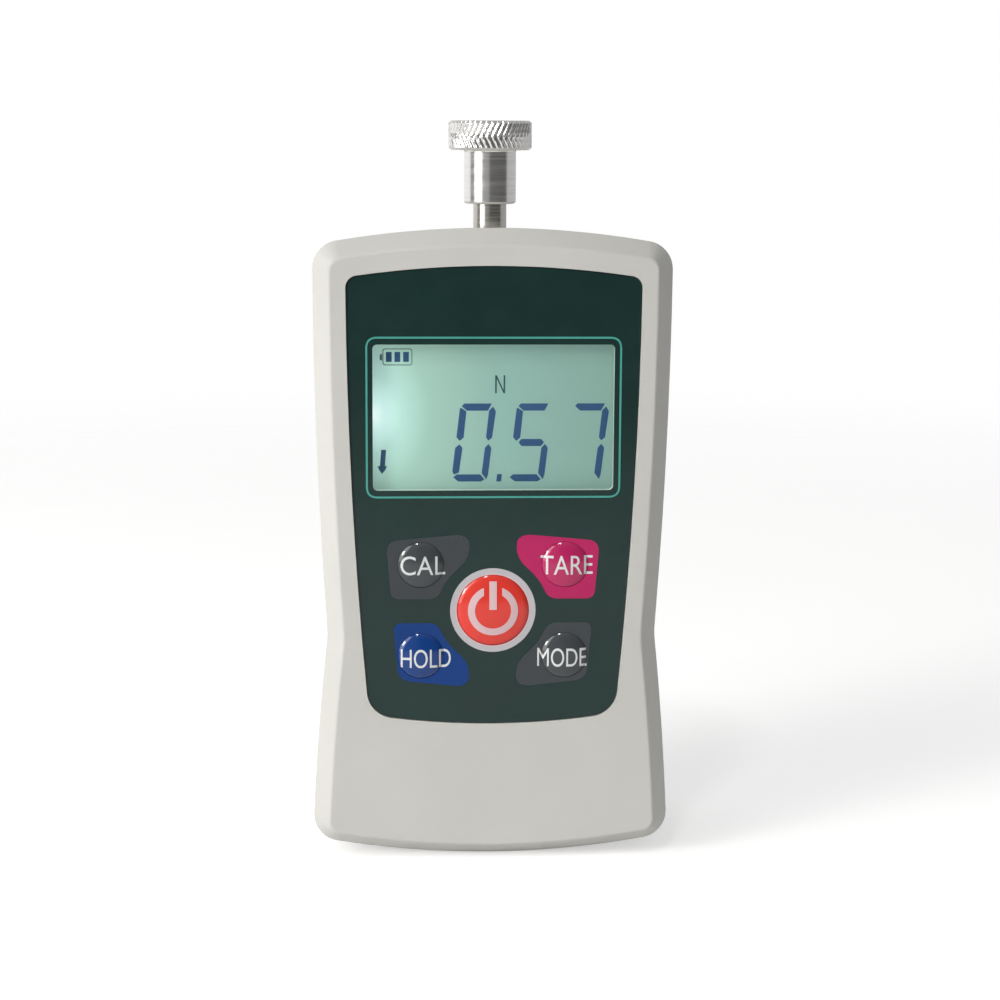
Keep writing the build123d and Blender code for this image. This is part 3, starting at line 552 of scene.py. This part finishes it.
def lcd_glass():
    """Reflective cell, brighter by the lamp at its left edge, with painted shade that makes it greyer toward
    the right.
    """
    m, tree, shader = principled("lcd_glass", (0.3, 0.45, 0.38), 0.4, specular=0.3)
    # colour of the cell darkens toward the right: painted fall-off of the lamp's light, used for both the
    # reflecting colour and the glow
    painted_falloff_base = ramp(tree, share_along(tree, "X", WINDOW_LEFT, WINDOW_RIGHT), LCD_PAINTED_FALLOFF_ACROSS)
    tree.links.new(painted_falloff_base, shader.inputs["Base Color"])
    from_lamp = vector_node(tree, "SUBTRACT", object_place(tree), (WINDOW_LEFT * MM, 0, LCD_LAMP_Z * MM))
    flat = vector_node(tree, "MULTIPLY", from_lamp, (1.0, 0.0, LCD_GLOW_TALL))
    distance = vector_node(tree, "LENGTH", flat, result="Value")
    glow = ramp(tree, math_node(tree, "DIVIDE", distance, LCD_GLOW_REACH * MM), LCD_GLOW)
    own = mixed(tree, 1.0, painted_falloff_base, grey(LCD_LIT), blend="MULTIPLY")
    tree.links.new(mixed(tree, 1.0, glow, own, blend="ADD"), shader.inputs["Emission Color"])
    shader.inputs["Emission Strength"].default_value = 1.0
    return m


def key_plastic(name, color):
    """Glossy moulded key."""
    m, tree, shader = principled(name, color, 0.08, specular=0.6)
    tint(tree, shader, color, 0.04, 150)
    uneven_gloss(tree, shader, 0.06, 0.10, 300)
    return m


SLEEVE_LOW, SLEEVE_HIGH = 0.1, 0.9      # ends of a battery's sleeve, as shares of its height
SLEEVE_BAND = 0.705                     # where the band at the sleeve's upper end begins
SLEEVE_STEP = 0.005                     # width of a change of colour


def battery_jacket():
    """Printed sleeve on a battery, with bare metal at both ends; the middle cell stands upside down."""
    m, tree, shader = principled("battery_jacket", (0.05, 0.09, 0.14), 0.3)
    low, high = span("batteries")
    upright = share_along(tree, "Z", low.z, high.z)
    aside = math_node(tree, "ABSOLUTE", place_along(tree, "X"))
    outer = math_node(tree, "GREATER_THAN", aside, (high.x - low.x) / 6 * MM)
    along = mixed(tree, outer, math_node(tree, "SUBTRACT", 1.0, upright), upright, kind="FLOAT")
    steel, dark, band = (0.6, 0.6, 0.6), (0.03, 0.05, 0.08), (0.72, 0.42, 0.05)
    color = ramp(tree, along, [
        (0.0, steel), (SLEEVE_LOW - SLEEVE_STEP, steel), (SLEEVE_LOW, dark),
        (SLEEVE_BAND - SLEEVE_STEP, dark), (SLEEVE_BAND, band), (SLEEVE_HIGH, band),
        (SLEEVE_HIGH + SLEEVE_STEP, steel), (1.0, steel)])
    tree.links.new(color, shader.inputs["Base Color"])
    bare = ramp(tree, along, [(0.0, 1.0), (SLEEVE_LOW - SLEEVE_STEP, 1.0), (SLEEVE_LOW, 0.0),
                              (SLEEVE_HIGH, 0.0), (SLEEVE_HIGH + SLEEVE_STEP, 1.0)])
    tree.links.new(bare, shader.inputs["Metallic"])
    uneven_gloss(tree, shader, 0.24, 0.36, 200)
    return m


def turned_metal(name, color, roughness):
    """Lathe-turned metal, with fine rings round the measuring axis."""
    return metal(name, color, roughness, stretch=(0.04, 0.04, 1.0), brush=0.000004, scale=2500)


def make_materials():
    """A material for each slot of the record, given to every CAD piece of that slot."""
    made = {
        "case_plastic": case_plastic(),
        "panel_green": panel_green(),
        "window_clear": window_clear(),
        "lcd_glass": lcd_glass(),
        "light_guide": plastic("light_guide", (0.75, 0.85, 0.8), 0.3),
        "white_plastic": plastic("white_plastic", (0.7, 0.7, 0.67), 0.5, grain=0.00002),
        "elastomer": plastic("elastomer", (0.3, 0.1, 0.09), 0.8, grain=0.00003),
        "black_plastic": plastic("black_plastic", (0.02, 0.02, 0.022), 0.45, grain=0.00002),
        "board_green": plastic("board_green", (0.015, 0.12, 0.05), 0.3, change=0.15),
        "screw_steel": metal("screw_steel", (0.5, 0.5, 0.51), 0.3, brush=0.000005),
        "battery_jacket": battery_jacket(),
        "spring_nickel": metal("spring_nickel", (0.7, 0.67, 0.62), 0.22),
        "head_chrome": turned_metal("head_chrome", (0.92, 0.91, 0.89), 0.19),
        "shaft_steel": turned_metal("shaft_steel", (0.62, 0.60, 0.56), 0.2),
        "bush_plastic": plastic("bush_plastic", (0.03, 0.03, 0.03), 0.5),
        "cell_aluminium": metal("cell_aluminium", (0.72, 0.73, 0.74), 0.32, stretch=(1, 0.05, 0.05),
                                brush=0.000006),
        "gauge_foil": metal("gauge_foil", (0.7, 0.45, 0.2), 0.35),
        "bracket_steel": metal("bracket_steel", (0.5, 0.5, 0.5), 0.35, brush=0.000006),
        "insert_brass": metal("insert_brass", (0.72, 0.52, 0.24), 0.28),
        "key_grey": key_plastic("key_grey", KEY_GREY),
        "key_magenta": key_plastic("key_magenta", KEY_MAGENTA),
        "key_blue": key_plastic("key_blue", KEY_BLUE),
        "key_red": key_plastic("key_red", KEY_RED),
    }
    for part in frame["record"]["subparts"]:
        mesh = nodes[part["node"]].data
        mesh.materials.clear()
        mesh.materials.append(made[part["material_slot"]])
    return made


materials = make_materials()
white_ink = plastic("white_ink", (0.72, 0.74, 0.75), 0.35)
pink_ink = plastic("pink_ink", (0.76, 0.53, 0.56), 0.35)
ring_ink = plastic("ring_ink", (0.55, 0.53, 0.56), 0.3)
teal_ink = plastic("teal_ink", (0.068, 0.37, 0.32), 0.35)
segment_ink = plastic("segment_ink", (0.050, 0.115, 0.270), 0.5, specular=0.2)
arrow_ink = plastic("arrow_ink", (0.075, 0.160, 0.300), 0.5, specular=0.2)
unit_ink = plastic("unit_ink", (0.045, 0.105, 0.120), 0.5, specular=0.2)
outline_ink = plastic("outline_ink", (0.130, 0.230, 0.230), 0.5, specular=0.2)

# ---------------------------------------------------------------- printed key fields
SIDE_AT_ZERO = 13.95        # distance of the fields' outer sides from the middle line at height zero
SIDE_SLOPE = 0.0853         # and its growth with height
FIELD_MIDDLE = POWER_Z - 0.12       # height halfway between the two rows of fields
PRINT = 0.03                # thickness of a print
KEY_SEAM = 0.03             # gap between a print and a key's rim
FIELD_COLORS = {"key_grey": KEY_GREY, "key_magenta": KEY_MAGENTA, "key_blue": KEY_BLUE}
FIELDS = {"set": (-1, 1, "key_grey"), "zero": (1, 1, "key_magenta"), "peak": (-1, -1, "key_blue"),
          "unit": (1, -1, "key_grey")}
# Corners of a field: distance from the middle line (None is the field's outer side), distance from
# FIELD_MIDDLE (upward in the upper row, downward in the lower one), and how far the corner is rounded.
FIELD_CORNERS = [(None, 2.18, 1.5), (None, 12.6, 2.2), (4.2, 13.95, 3.0), (4.2, 9.6, 2.0), (8.3, 5.6, 2.0),
                 (9.9, 2.18, 1.6)]


def key_field(side, row):
    """Outline of the coloured field round a corner key."""
    points, radii = [], []
    for x, height, radius in FIELD_CORNERS:
        z = FIELD_MIDDLE + row * height
        points.append((SIDE_AT_ZERO + SIDE_SLOPE * z if x is None else x, z))
        radii.append(radius)
    return [(side * x, z) for x, z in softened(points, radii)]


def add_key_fields():
    inks = {slot: plastic(f"{slot}_print", color, 0.3, specular=0.3) for slot, color in FIELD_COLORS.items()}
    for key, (side, row, slot) in FIELDS.items():
        rim = circle(KEYS[key].x, KEYS[key].z, KEY_RADIUS[key] + KEY_SEAM)
        field = flat_face(key_field(side, row), [rim])
        lay(field, f"field_{key}", flat_at(PANEL_Y), PRINT, "housing", inks[slot])


POWER_RING = 7.6            # outer radius of the ring round the power key
POWER_LINE = 0.2            # width of the line inside it


def add_power_ring():
    """Grey ring round the power key, with a thin pink line inside it."""
    rim = KEY_RADIUS["power"] + KEY_SEAM
    for name, inner, outer, ink in (("power_ring", rim + POWER_LINE, POWER_RING, ring_ink),
                                    ("power_ring_line", rim, rim + POWER_LINE, pink_ink)):
        ring = flat_face(circle(0, POWER_Z, outer), [circle(0, POWER_Z, inner)])
        lay(ring, name, flat_at(PANEL_Y), PRINT, "housing", ink)


KEY_SLOTS = {"set": "key_grey", "zero": "key_magenta", "peak": "key_blue", "unit": "key_grey",
             "power": "key_red"}
KEY_TURNS = 96              # points round a cap
DOME_RINGS, RIM_RINGS = 14, 10
CAP_SHARP = math.radians(40)        # edges of a cap bent more than this stay sharp


def cap_profile(key):
    """Half section of a key's cap, as (distance from its axis, Y), from its top to its back."""
    radius = KEY_RADIUS[key]
    low, high = span(f"key_{key}")
    bend_start = radius - KEY_RIM
    dome = [bend_start * i / DOME_RINGS for i in range(1, DOME_RINGS + 1)]
    rim = [bend_start + KEY_RIM * i / RIM_RINGS for i in range(1, RIM_RINGS + 1)]
    shelf = high.y - KEY_FLANGE_THICK
    return ([(r, low.y + dome_depth(key, r)) for r in dome + rim]
            + [(radius, shelf), (radius + KEY_FLANGE, shelf), (radius + KEY_FLANGE, high.y)])


def add_key_caps():
    """Key caps: a dome, a rim that bends toward the side, and the collar behind the panel."""
    for key, slot in KEY_SLOTS.items():
        x, z, top_y = KEYS[key].x, KEYS[key].z, span(f"key_{key}")[0].y
        bm, rings = skin([[((x + r * math.cos(a)) * MM, y * MM, (z + r * math.sin(a)) * MM)
                           for a in turns(KEY_TURNS)] for r, y in cap_profile(key)])
        top = bm.verts.new((x * MM, top_y * MM, z * MM))
        for a, b in zip(rings[0], rings[0][1:] + rings[0][:1]):
            bm.faces.new((top, a, b))
        bm.faces.new(rings[-1])
        bmesh.ops.recalc_face_normals(bm, faces=bm.faces)
        cap = add_piece(bm, f"key_{key}_cap", f"key_{key}", materials[slot], smooth=True)
        cap.data.set_sharp_from_angle(angle=CAP_SHARP)
        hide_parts(f"key_{key}")


# ---------------------------------------------------------------- legends
LEGEND_CAP = 3.4            # height of the capitals
INK = 0.03                  # thickness of a legend
GRID = 0.25                 # cells into which a print on a dome is cut
# Word of each corner key, X and Z of its middle, and how wide it is.
LEGENDS = {"set": ("CAL", -12.44, 54.31, 7.9), "zero": ("TARE", 13.08, 54.31, 9.3),
           "peak": ("HOLD", -11.92, 37.46, 8.9), "unit": ("MODE", 12.38, 37.53, 8.8)}


def word_mesh(word, cx, cz, width):
    """Flat mesh of a word with capitals of LEGEND_CAP, squeezed to a width, centred on a place."""
    curve = bpy.data.curves.new(word, "FONT")
    curve.body = word
    text = add_object(word, curve)
    bpy.context.view_layer.update()
    mesh = bpy.data.meshes.new_from_object(text.evaluated_get(bpy.context.evaluated_depsgraph_get()))
    bpy.data.objects.remove(text)
    bpy.data.curves.remove(curve)
    bm = bmesh.new()
    bm.from_mesh(mesh)
    bpy.data.meshes.remove(mesh)
    xs, ys = [v.co.x for v in bm.verts], [v.co.y for v in bm.verts]
    x_scale, z_scale = width / (max(xs) - min(xs)), LEGEND_CAP / (max(ys) - min(ys))
    x_middle, z_middle = (max(xs) + min(xs)) / 2, (max(ys) + min(ys)) / 2
    for v in bm.verts:
        v.co = ((v.co.x - x_middle) * x_scale + cx, 0, (v.co.y - z_middle) * z_scale + cz)
    return bm


def add_legends():
    """Each word lies partly on its key's dome and partly on the field round it."""
    for key, (word, cx, cz, width) in LEGENDS.items():
        centre, radius = KEYS[key], KEY_RADIUS[key]
        on_key = word_mesh(word, cx, cz, width)
        keep_inside(on_key, centre.x, centre.z, radius - KEY_SEAM)
        cut_grid(on_key, GRID)
        lay(on_key, f"legend_{key}", dome_of(key), INK, f"key_{key}", white_ink)
        beside = word_mesh(word, cx, cz, width)
        keep_outside(beside, centre.x, centre.z, radius + KEY_SEAM)
        if beside.faces:
            lay(beside, f"legend_{key}_edge", flat_at(PANEL_Y - PRINT), INK, "housing",
                white_ink)
        else:
            beside.free()


SIGN_OUTER, SIGN_INNER = 4.45, 3.2      # radii of the ring of the power sign
SIGN_GAP = 1.62             # half of the gap in its top
SIGN_BAR_HALF = 0.66        # half of its bar's width
SIGN_BAR_LOW, SIGN_BAR_HIGH = 0.25, 5.28        # ends of the bar over the key's middle
SIGN_INK = 0.07             # thickness of the sign


def add_power_sign():
    """The usual sign for on and off: a ring that is open at its top, and a bar in the gap."""
    right_outer, right_inner = math.acos(SIGN_GAP / SIGN_OUTER), math.acos(SIGN_GAP / SIGN_INNER)
    outer = arc(0, POWER_Z, SIGN_OUTER, math.pi - right_outer, 2 * math.pi + right_outer, 72)
    inner = arc(0, POWER_Z, SIGN_INNER, 2 * math.pi + right_inner, math.pi - right_inner, 72)
    bar = box_outline(-SIGN_BAR_HALF, SIGN_BAR_HALF, POWER_Z + SIGN_BAR_LOW, POWER_Z + SIGN_BAR_HIGH)
    for name, outline in (("power_sign_ring", outer + inner), ("power_sign_bar", bar)):
        sign = flat_face(outline)
        cut_grid(sign, GRID)
        lay(sign, name, dome_of("power"), SIGN_INK, "key_power", pink_ink)


# ---------------------------------------------------------------- display
BORDER_ASIDE, BORDER_BELOW, BORDER_ABOVE = 1.1, 1.22, 1.24      # how far the border lies outside the window
BORDER_LINE = 0.34          # width of the border's line
BORDER_ROUND = 1.6
SEGMENT_LIFT = 0.02         # gap between the cell and a sign, and thickness of the sign
DIGITS = "057"
DIGIT_LOW = WINDOW_LOW + 1.2
DIGIT_HEIGHT, DIGIT_WIDTH = 13.9, 6.4
DIGIT_FIRST, DIGIT_PITCH = -7.39, 10.0      # left foot of the first digit, and the step to the next
SLANT = 0.118               # how far a digit leans to the right, by height
STROKE = 1.27               # thickness of a digit's bars
LIT = {"0": "abcdef", "5": "acdfg", "7": "abc"}
POINT_BEFORE = 2.01         # the point's left side lies this far before the second digit
POINT_WIDTH, POINT_HEIGHT, POINT_LEAN = 0.84, 1.3, 0.16
UNIT_LOW, UNIT_HEIGHT = WINDOW_LOW + 16.9, 3.2
UNIT_LEFT, UNIT_WIDTH, UNIT_STROKE, UNIT_DIAGONAL = 0.34, 1.75, 0.27, 0.6
ARROW_LEFT, ARROW_LOW = WINDOW_LEFT + 0.77, WINDOW_LOW + 2.6
ARROW_WIDTH, ARROW_HEIGHT, ARROW_HEAD = 1.66, 4.3, 1.4      # ARROW_HEAD is the height of its head
ARROW_STEM, ARROW_LEAN = (0.43, 1.31), 0.22                 # sides of its stem, and how far the stem leans
ARROW_TAPER, ARROW_TIP = 0.28, 0.78     # how much its head narrows halfway down, and where its tip lies
BATTERY_X, BATTERY_Z = WINDOW_LEFT + 4.32, WINDOW_HIGH - 2.37       # middle of the battery sign
BATTERY_WIDTH, BATTERY_HEIGHT, BATTERY_LINE = 5.22, 2.96, 0.15
BATTERY_ROUNDS = (0.4, 0.3)                 # radii of its outline, outside and inside
BATTERY_BARS = (-2.01, -0.51, 1.0)          # left sides of its bars, from its middle
BATTERY_BAR_WIDTH, BATTERY_BAR_HEIGHT = 1.0, 1.74
TERMINAL_LEFT, TERMINAL_LOW = BATTERY_X - 3.07, BATTERY_Z - 0.58
TERMINAL_WIDTH, TERMINAL_HEIGHT = 0.4, 1.05


def add_border():
    left, right = WINDOW_LEFT - BORDER_ASIDE, WINDOW_RIGHT + BORDER_ASIDE
    low, high = WINDOW_LOW - BORDER_BELOW, WINDOW_HIGH + BORDER_ABOVE
    cx, cz, width, height = (left + right) / 2, (low + high) / 2, right - left, high - low
    outer = rounded_box(cx, cz, width + BORDER_LINE, height + BORDER_LINE, BORDER_ROUND)
    inner = rounded_box(cx, cz, width - BORDER_LINE, height - BORDER_LINE, BORDER_ROUND - BORDER_LINE)
    border = flat_face(outer, [inner])
    lay(border, "display_border", flat_at(PANEL_Y), PRINT, "housing", teal_ink)


def digit_bars(left, letters):
    """Pointed bars of one seven-segment digit, named a to g in the usual order."""
    w, h, s = DIGIT_WIDTH, DIGIT_HEIGHT, STROKE
    mid = h / 2
    bars = {
        "a": [(0.27, h - 0.46), (0.67, h), (w - 0.9, h), (w - 1.42, h - s), (s, h - s)],
        "b": [(w - 0.6, h - 0.55), (w, h - 1.4), (w - 0.1, mid + 0.9), (w - 0.7, mid + 0.35),
              (w - 1.18, mid + 0.95), (w - 1.22, h - s)],
        "c": [(w - 0.6, mid - 0.25), (w, mid - 0.95), (w, 1.35), (w - 0.2, 0.37), (w - 1.17, 1.5),
              (w - 1.15, mid - 0.95)],
        "d": [(0.28, 0.75), (0.83, s), (w - 1.4, s), (w - 0.55, 0.37), (w - 1.1, 0), (s, 0)],
        "e": [(0.66, mid - 0.3), (1.29, mid - 0.95), (1.2, 1.6), (0.31, 1.25), (0, 1.85), (0, mid - 0.95)],
        "f": [(0.17, h - 0.75), (1.2, h - 1.4), (1.27, mid + 0.9), (0.66, mid + 0.3), (0, mid + 0.95),
              (0, h - 0.92)],
        "g": [(1.1, mid), (1.5, mid + s / 2), (w - 1.4, mid + s / 2), (w - 0.8, mid + 0.05),
              (w - 1.25, mid - s / 2), (1.7, mid - s / 2)],
    }
    return [[(left + x + SLANT * z, DIGIT_LOW + z) for x, z in bars[letter]] for letter in letters]


def unit_outlines():
    """Letter N: two uprights and a diagonal between them."""
    low, high, thin = UNIT_LOW, UNIT_LOW + UNIT_HEIGHT, UNIT_STROKE
    left, right = UNIT_LEFT, UNIT_LEFT + UNIT_WIDTH
    diagonal = [(left + thin, high), (left + thin, high - UNIT_DIAGONAL), (right - thin, low),
                (right - thin, low + UNIT_DIAGONAL)]
    return [box_outline(left, left + thin, low, high), box_outline(right - thin, right, low, high), diagonal]


def arrow_outlines():
    """Arrow that points down, the direction of a push."""
    x, z = ARROW_LEFT, ARROW_LOW
    neck, halfway = z + ARROW_HEAD, z + ARROW_HEAD / 2
    stem_left, stem_right = ARROW_STEM
    stem = box_outline(x + stem_left, x + stem_right, neck, z + ARROW_HEIGHT, ARROW_LEAN)
    head = [(x, neck), (x + ARROW_WIDTH, neck), (x + ARROW_WIDTH - ARROW_TAPER, halfway), (x + ARROW_TIP, z),
            (x + ARROW_TAPER, halfway)]
    return [stem, head]


def digit_outlines():
    """Bars of the number, with the point after its first digit."""
    left = DIGIT_FIRST + DIGIT_PITCH - POINT_BEFORE
    outlines = [box_outline(left, left + POINT_WIDTH, DIGIT_LOW, DIGIT_LOW + POINT_HEIGHT, POINT_LEAN)]
    for i, digit in enumerate(DIGITS):
        outlines += digit_bars(DIGIT_FIRST + i * DIGIT_PITCH, LIT[digit])
    return outlines


def battery_bars():
    low, high = BATTERY_Z - BATTERY_BAR_HEIGHT / 2, BATTERY_Z + BATTERY_BAR_HEIGHT / 2
    return [box_outline(BATTERY_X + left, BATTERY_X + left + BATTERY_BAR_WIDTH, low, high)
            for left in BATTERY_BARS]


def battery_case():
    """Sheets of the battery sign's outline and of the terminal at its left."""
    outer, inner = [rounded_box(BATTERY_X, BATTERY_Z, BATTERY_WIDTH - inset, BATTERY_HEIGHT - inset, radius)
                    for inset, radius in zip((0, 2 * BATTERY_LINE), BATTERY_ROUNDS)]
    terminal = box_outline(TERMINAL_LEFT, TERMINAL_LEFT + TERMINAL_WIDTH, TERMINAL_LOW,
                           TERMINAL_LOW + TERMINAL_HEIGHT)
    return [flat_face(outer, [inner]), flat_face(terminal)]


def add_display():
    """Signs of the display, each a piece of its own, numbered in this order."""
    signs = [(digit_outlines() + battery_bars(), segment_ink), (unit_outlines(), unit_ink),
             (arrow_outlines(), arrow_ink)]
    sheets = [(flat_face(outline), ink) for outlines, ink in signs for outline in outlines]
    sheets += [(sheet, outline_ink) for sheet in battery_case()]
    for i, (sheet, ink) in enumerate(sheets):
        lay(sheet, f"display_sign_{i:02d}", flat_at(LCD_Y - SEGMENT_LIFT), SEGMENT_LIFT, "housing",
            ink)


# ---------------------------------------------------------------- knurled head
HEAD_RADIUS, COLLAR_RADIUS, BORE_RADIUS = 7.5, 4.67, 2.5
DISC_HEIGHT, HEAD_CHAMFER, BORE_DEPTH = 5.2, 0.45, 9.0
BORE_CHAMFER, COLLAR_EDGE, COLLAR_FILLET = 0.2, 0.4, 0.3
BEND = 0.3                  # a rounding's middle point lies this share of its size from both its sides
SLOPE_BELOW, SLOPE_ABOVE, SLOPE_RISE = 0.25, 0.15, 0.04     # faint slopes between the flats and the chamfers
TOP_RING = 0.6              # the flat top has a ring of points at this share of the radius
AXIS_GAP = 0.05             # radius of the small flats at the axis
HEAD_SHARP = math.radians(22)       # edges of the head bent more than this stay sharp
RIM_HEIGHT = DISC_HEIGHT - 2 * HEAD_CHAMFER
KNURL_COUNT = 47
KNURL_ANGLE = math.radians(26)      # lean of the grooves
KNURL_DEPTH = 0.30
KNURL_TURN, KNURL_FADE = 0.32, 0.3      # where on the rim the lean changes, and over what share of it
KNURL_TRACE = 0.15          # share of the depth that a groove keeps where the other lean rules
KNURL_LOWER = 0.55          # share of the rest that a groove of the lower half has
KNURL_STEPS = 10            # points round the head for each groove
KNURL_ROWS = 44


def knurl_height(angle, height):
    """Depth below the rim at a place on it, height running from 0 at its foot to 1 at its top.

    Grooves that lean right rule the upper half. Those that lean left rule the lower half and are shallower.
    """
    lead = height * RIM_HEIGHT * math.tan(KNURL_ANGLE) / HEAD_RADIUS
    upper = min(1.0, max(0.0, (height - KNURL_TURN) / KNURL_FADE))
    depth = 0.0
    for turn, share in ((angle - lead, upper), (angle + lead, KNURL_LOWER * (1 - upper))):
        groove = 0.5 + 0.5 * math.cos(KNURL_COUNT * turn)
        depth = max(depth, groove * (KNURL_TRACE + (1 - KNURL_TRACE) * share))
    return KNURL_DEPTH * depth


def head_profile(low, high):
    """Half section of the head, from its bore round the outside to the middle of its top, in three parts."""
    foot = high - DISC_HEIGHT
    rim_low, rim_high = foot + HEAD_CHAMFER, high - HEAD_CHAMFER
    flat_radius = HEAD_RADIUS - HEAD_CHAMFER
    below = [(AXIS_GAP, low + BORE_DEPTH), (BORE_RADIUS, low + BORE_DEPTH), (BORE_RADIUS, low + BORE_CHAMFER),
             (BORE_RADIUS + BORE_CHAMFER, low), (COLLAR_RADIUS - COLLAR_EDGE, low),
             (COLLAR_RADIUS - BEND * COLLAR_EDGE, low + BEND * COLLAR_EDGE),
             (COLLAR_RADIUS, low + COLLAR_EDGE), (COLLAR_RADIUS, foot - COLLAR_FILLET),
             (COLLAR_RADIUS + BEND * COLLAR_FILLET, foot - BEND * COLLAR_FILLET),
             (COLLAR_RADIUS + COLLAR_FILLET, foot), (flat_radius - SLOPE_BELOW, foot),
             (flat_radius, foot + SLOPE_RISE)]
    rim = [(HEAD_RADIUS, rim_low + (rim_high - rim_low) * i / KNURL_ROWS) for i in range(KNURL_ROWS + 1)]
    above = [(flat_radius, high - SLOPE_RISE), (flat_radius - SLOPE_ABOVE, high),
             (HEAD_RADIUS * TOP_RING, high), (AXIS_GAP, high)]
    return below, rim, above


def head_ring(radius, z, knurl_at=None):
    """Points round the axis at a height, in metres; knurl_at is the height on the rim, from 0 to 1."""
    points = []
    for angle in turns(KNURL_COUNT * KNURL_STEPS):
        r = radius - (0.0 if knurl_at is None else knurl_height(angle, knurl_at))
        points.append((r * math.cos(angle) * MM, r * math.sin(angle) * MM, z * MM))
    return points


def add_knurled_head():
    low, high = span("knurled_head")
    below, rim, above = head_profile(low.z, high.z)
    foot = rim[0][1]
    bm, rings = skin([head_ring(r, z) for r, z in below]
                     + [head_ring(r, z, (z - foot) / RIM_HEIGHT) for r, z in rim]
                     + [head_ring(r, z) for r, z in above])
    bm.faces.new(rings[0][::-1])
    bm.faces.new(rings[-1])
    bmesh.ops.recalc_face_normals(bm, faces=bm.faces)
    head = add_piece(bm, "knurled_head_detailed", "head", materials["head_chrome"],
                     smooth=True)
    head.data.set_sharp_from_angle(angle=HEAD_SHARP)
    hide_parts("knurled_head")


# ---------------------------------------------------------------- all of it
add_camera()
add_studio()
add_key_caps()
add_key_fields()
add_power_ring()
add_legends()
add_power_sign()
add_border()
add_display()
add_knurled_head()
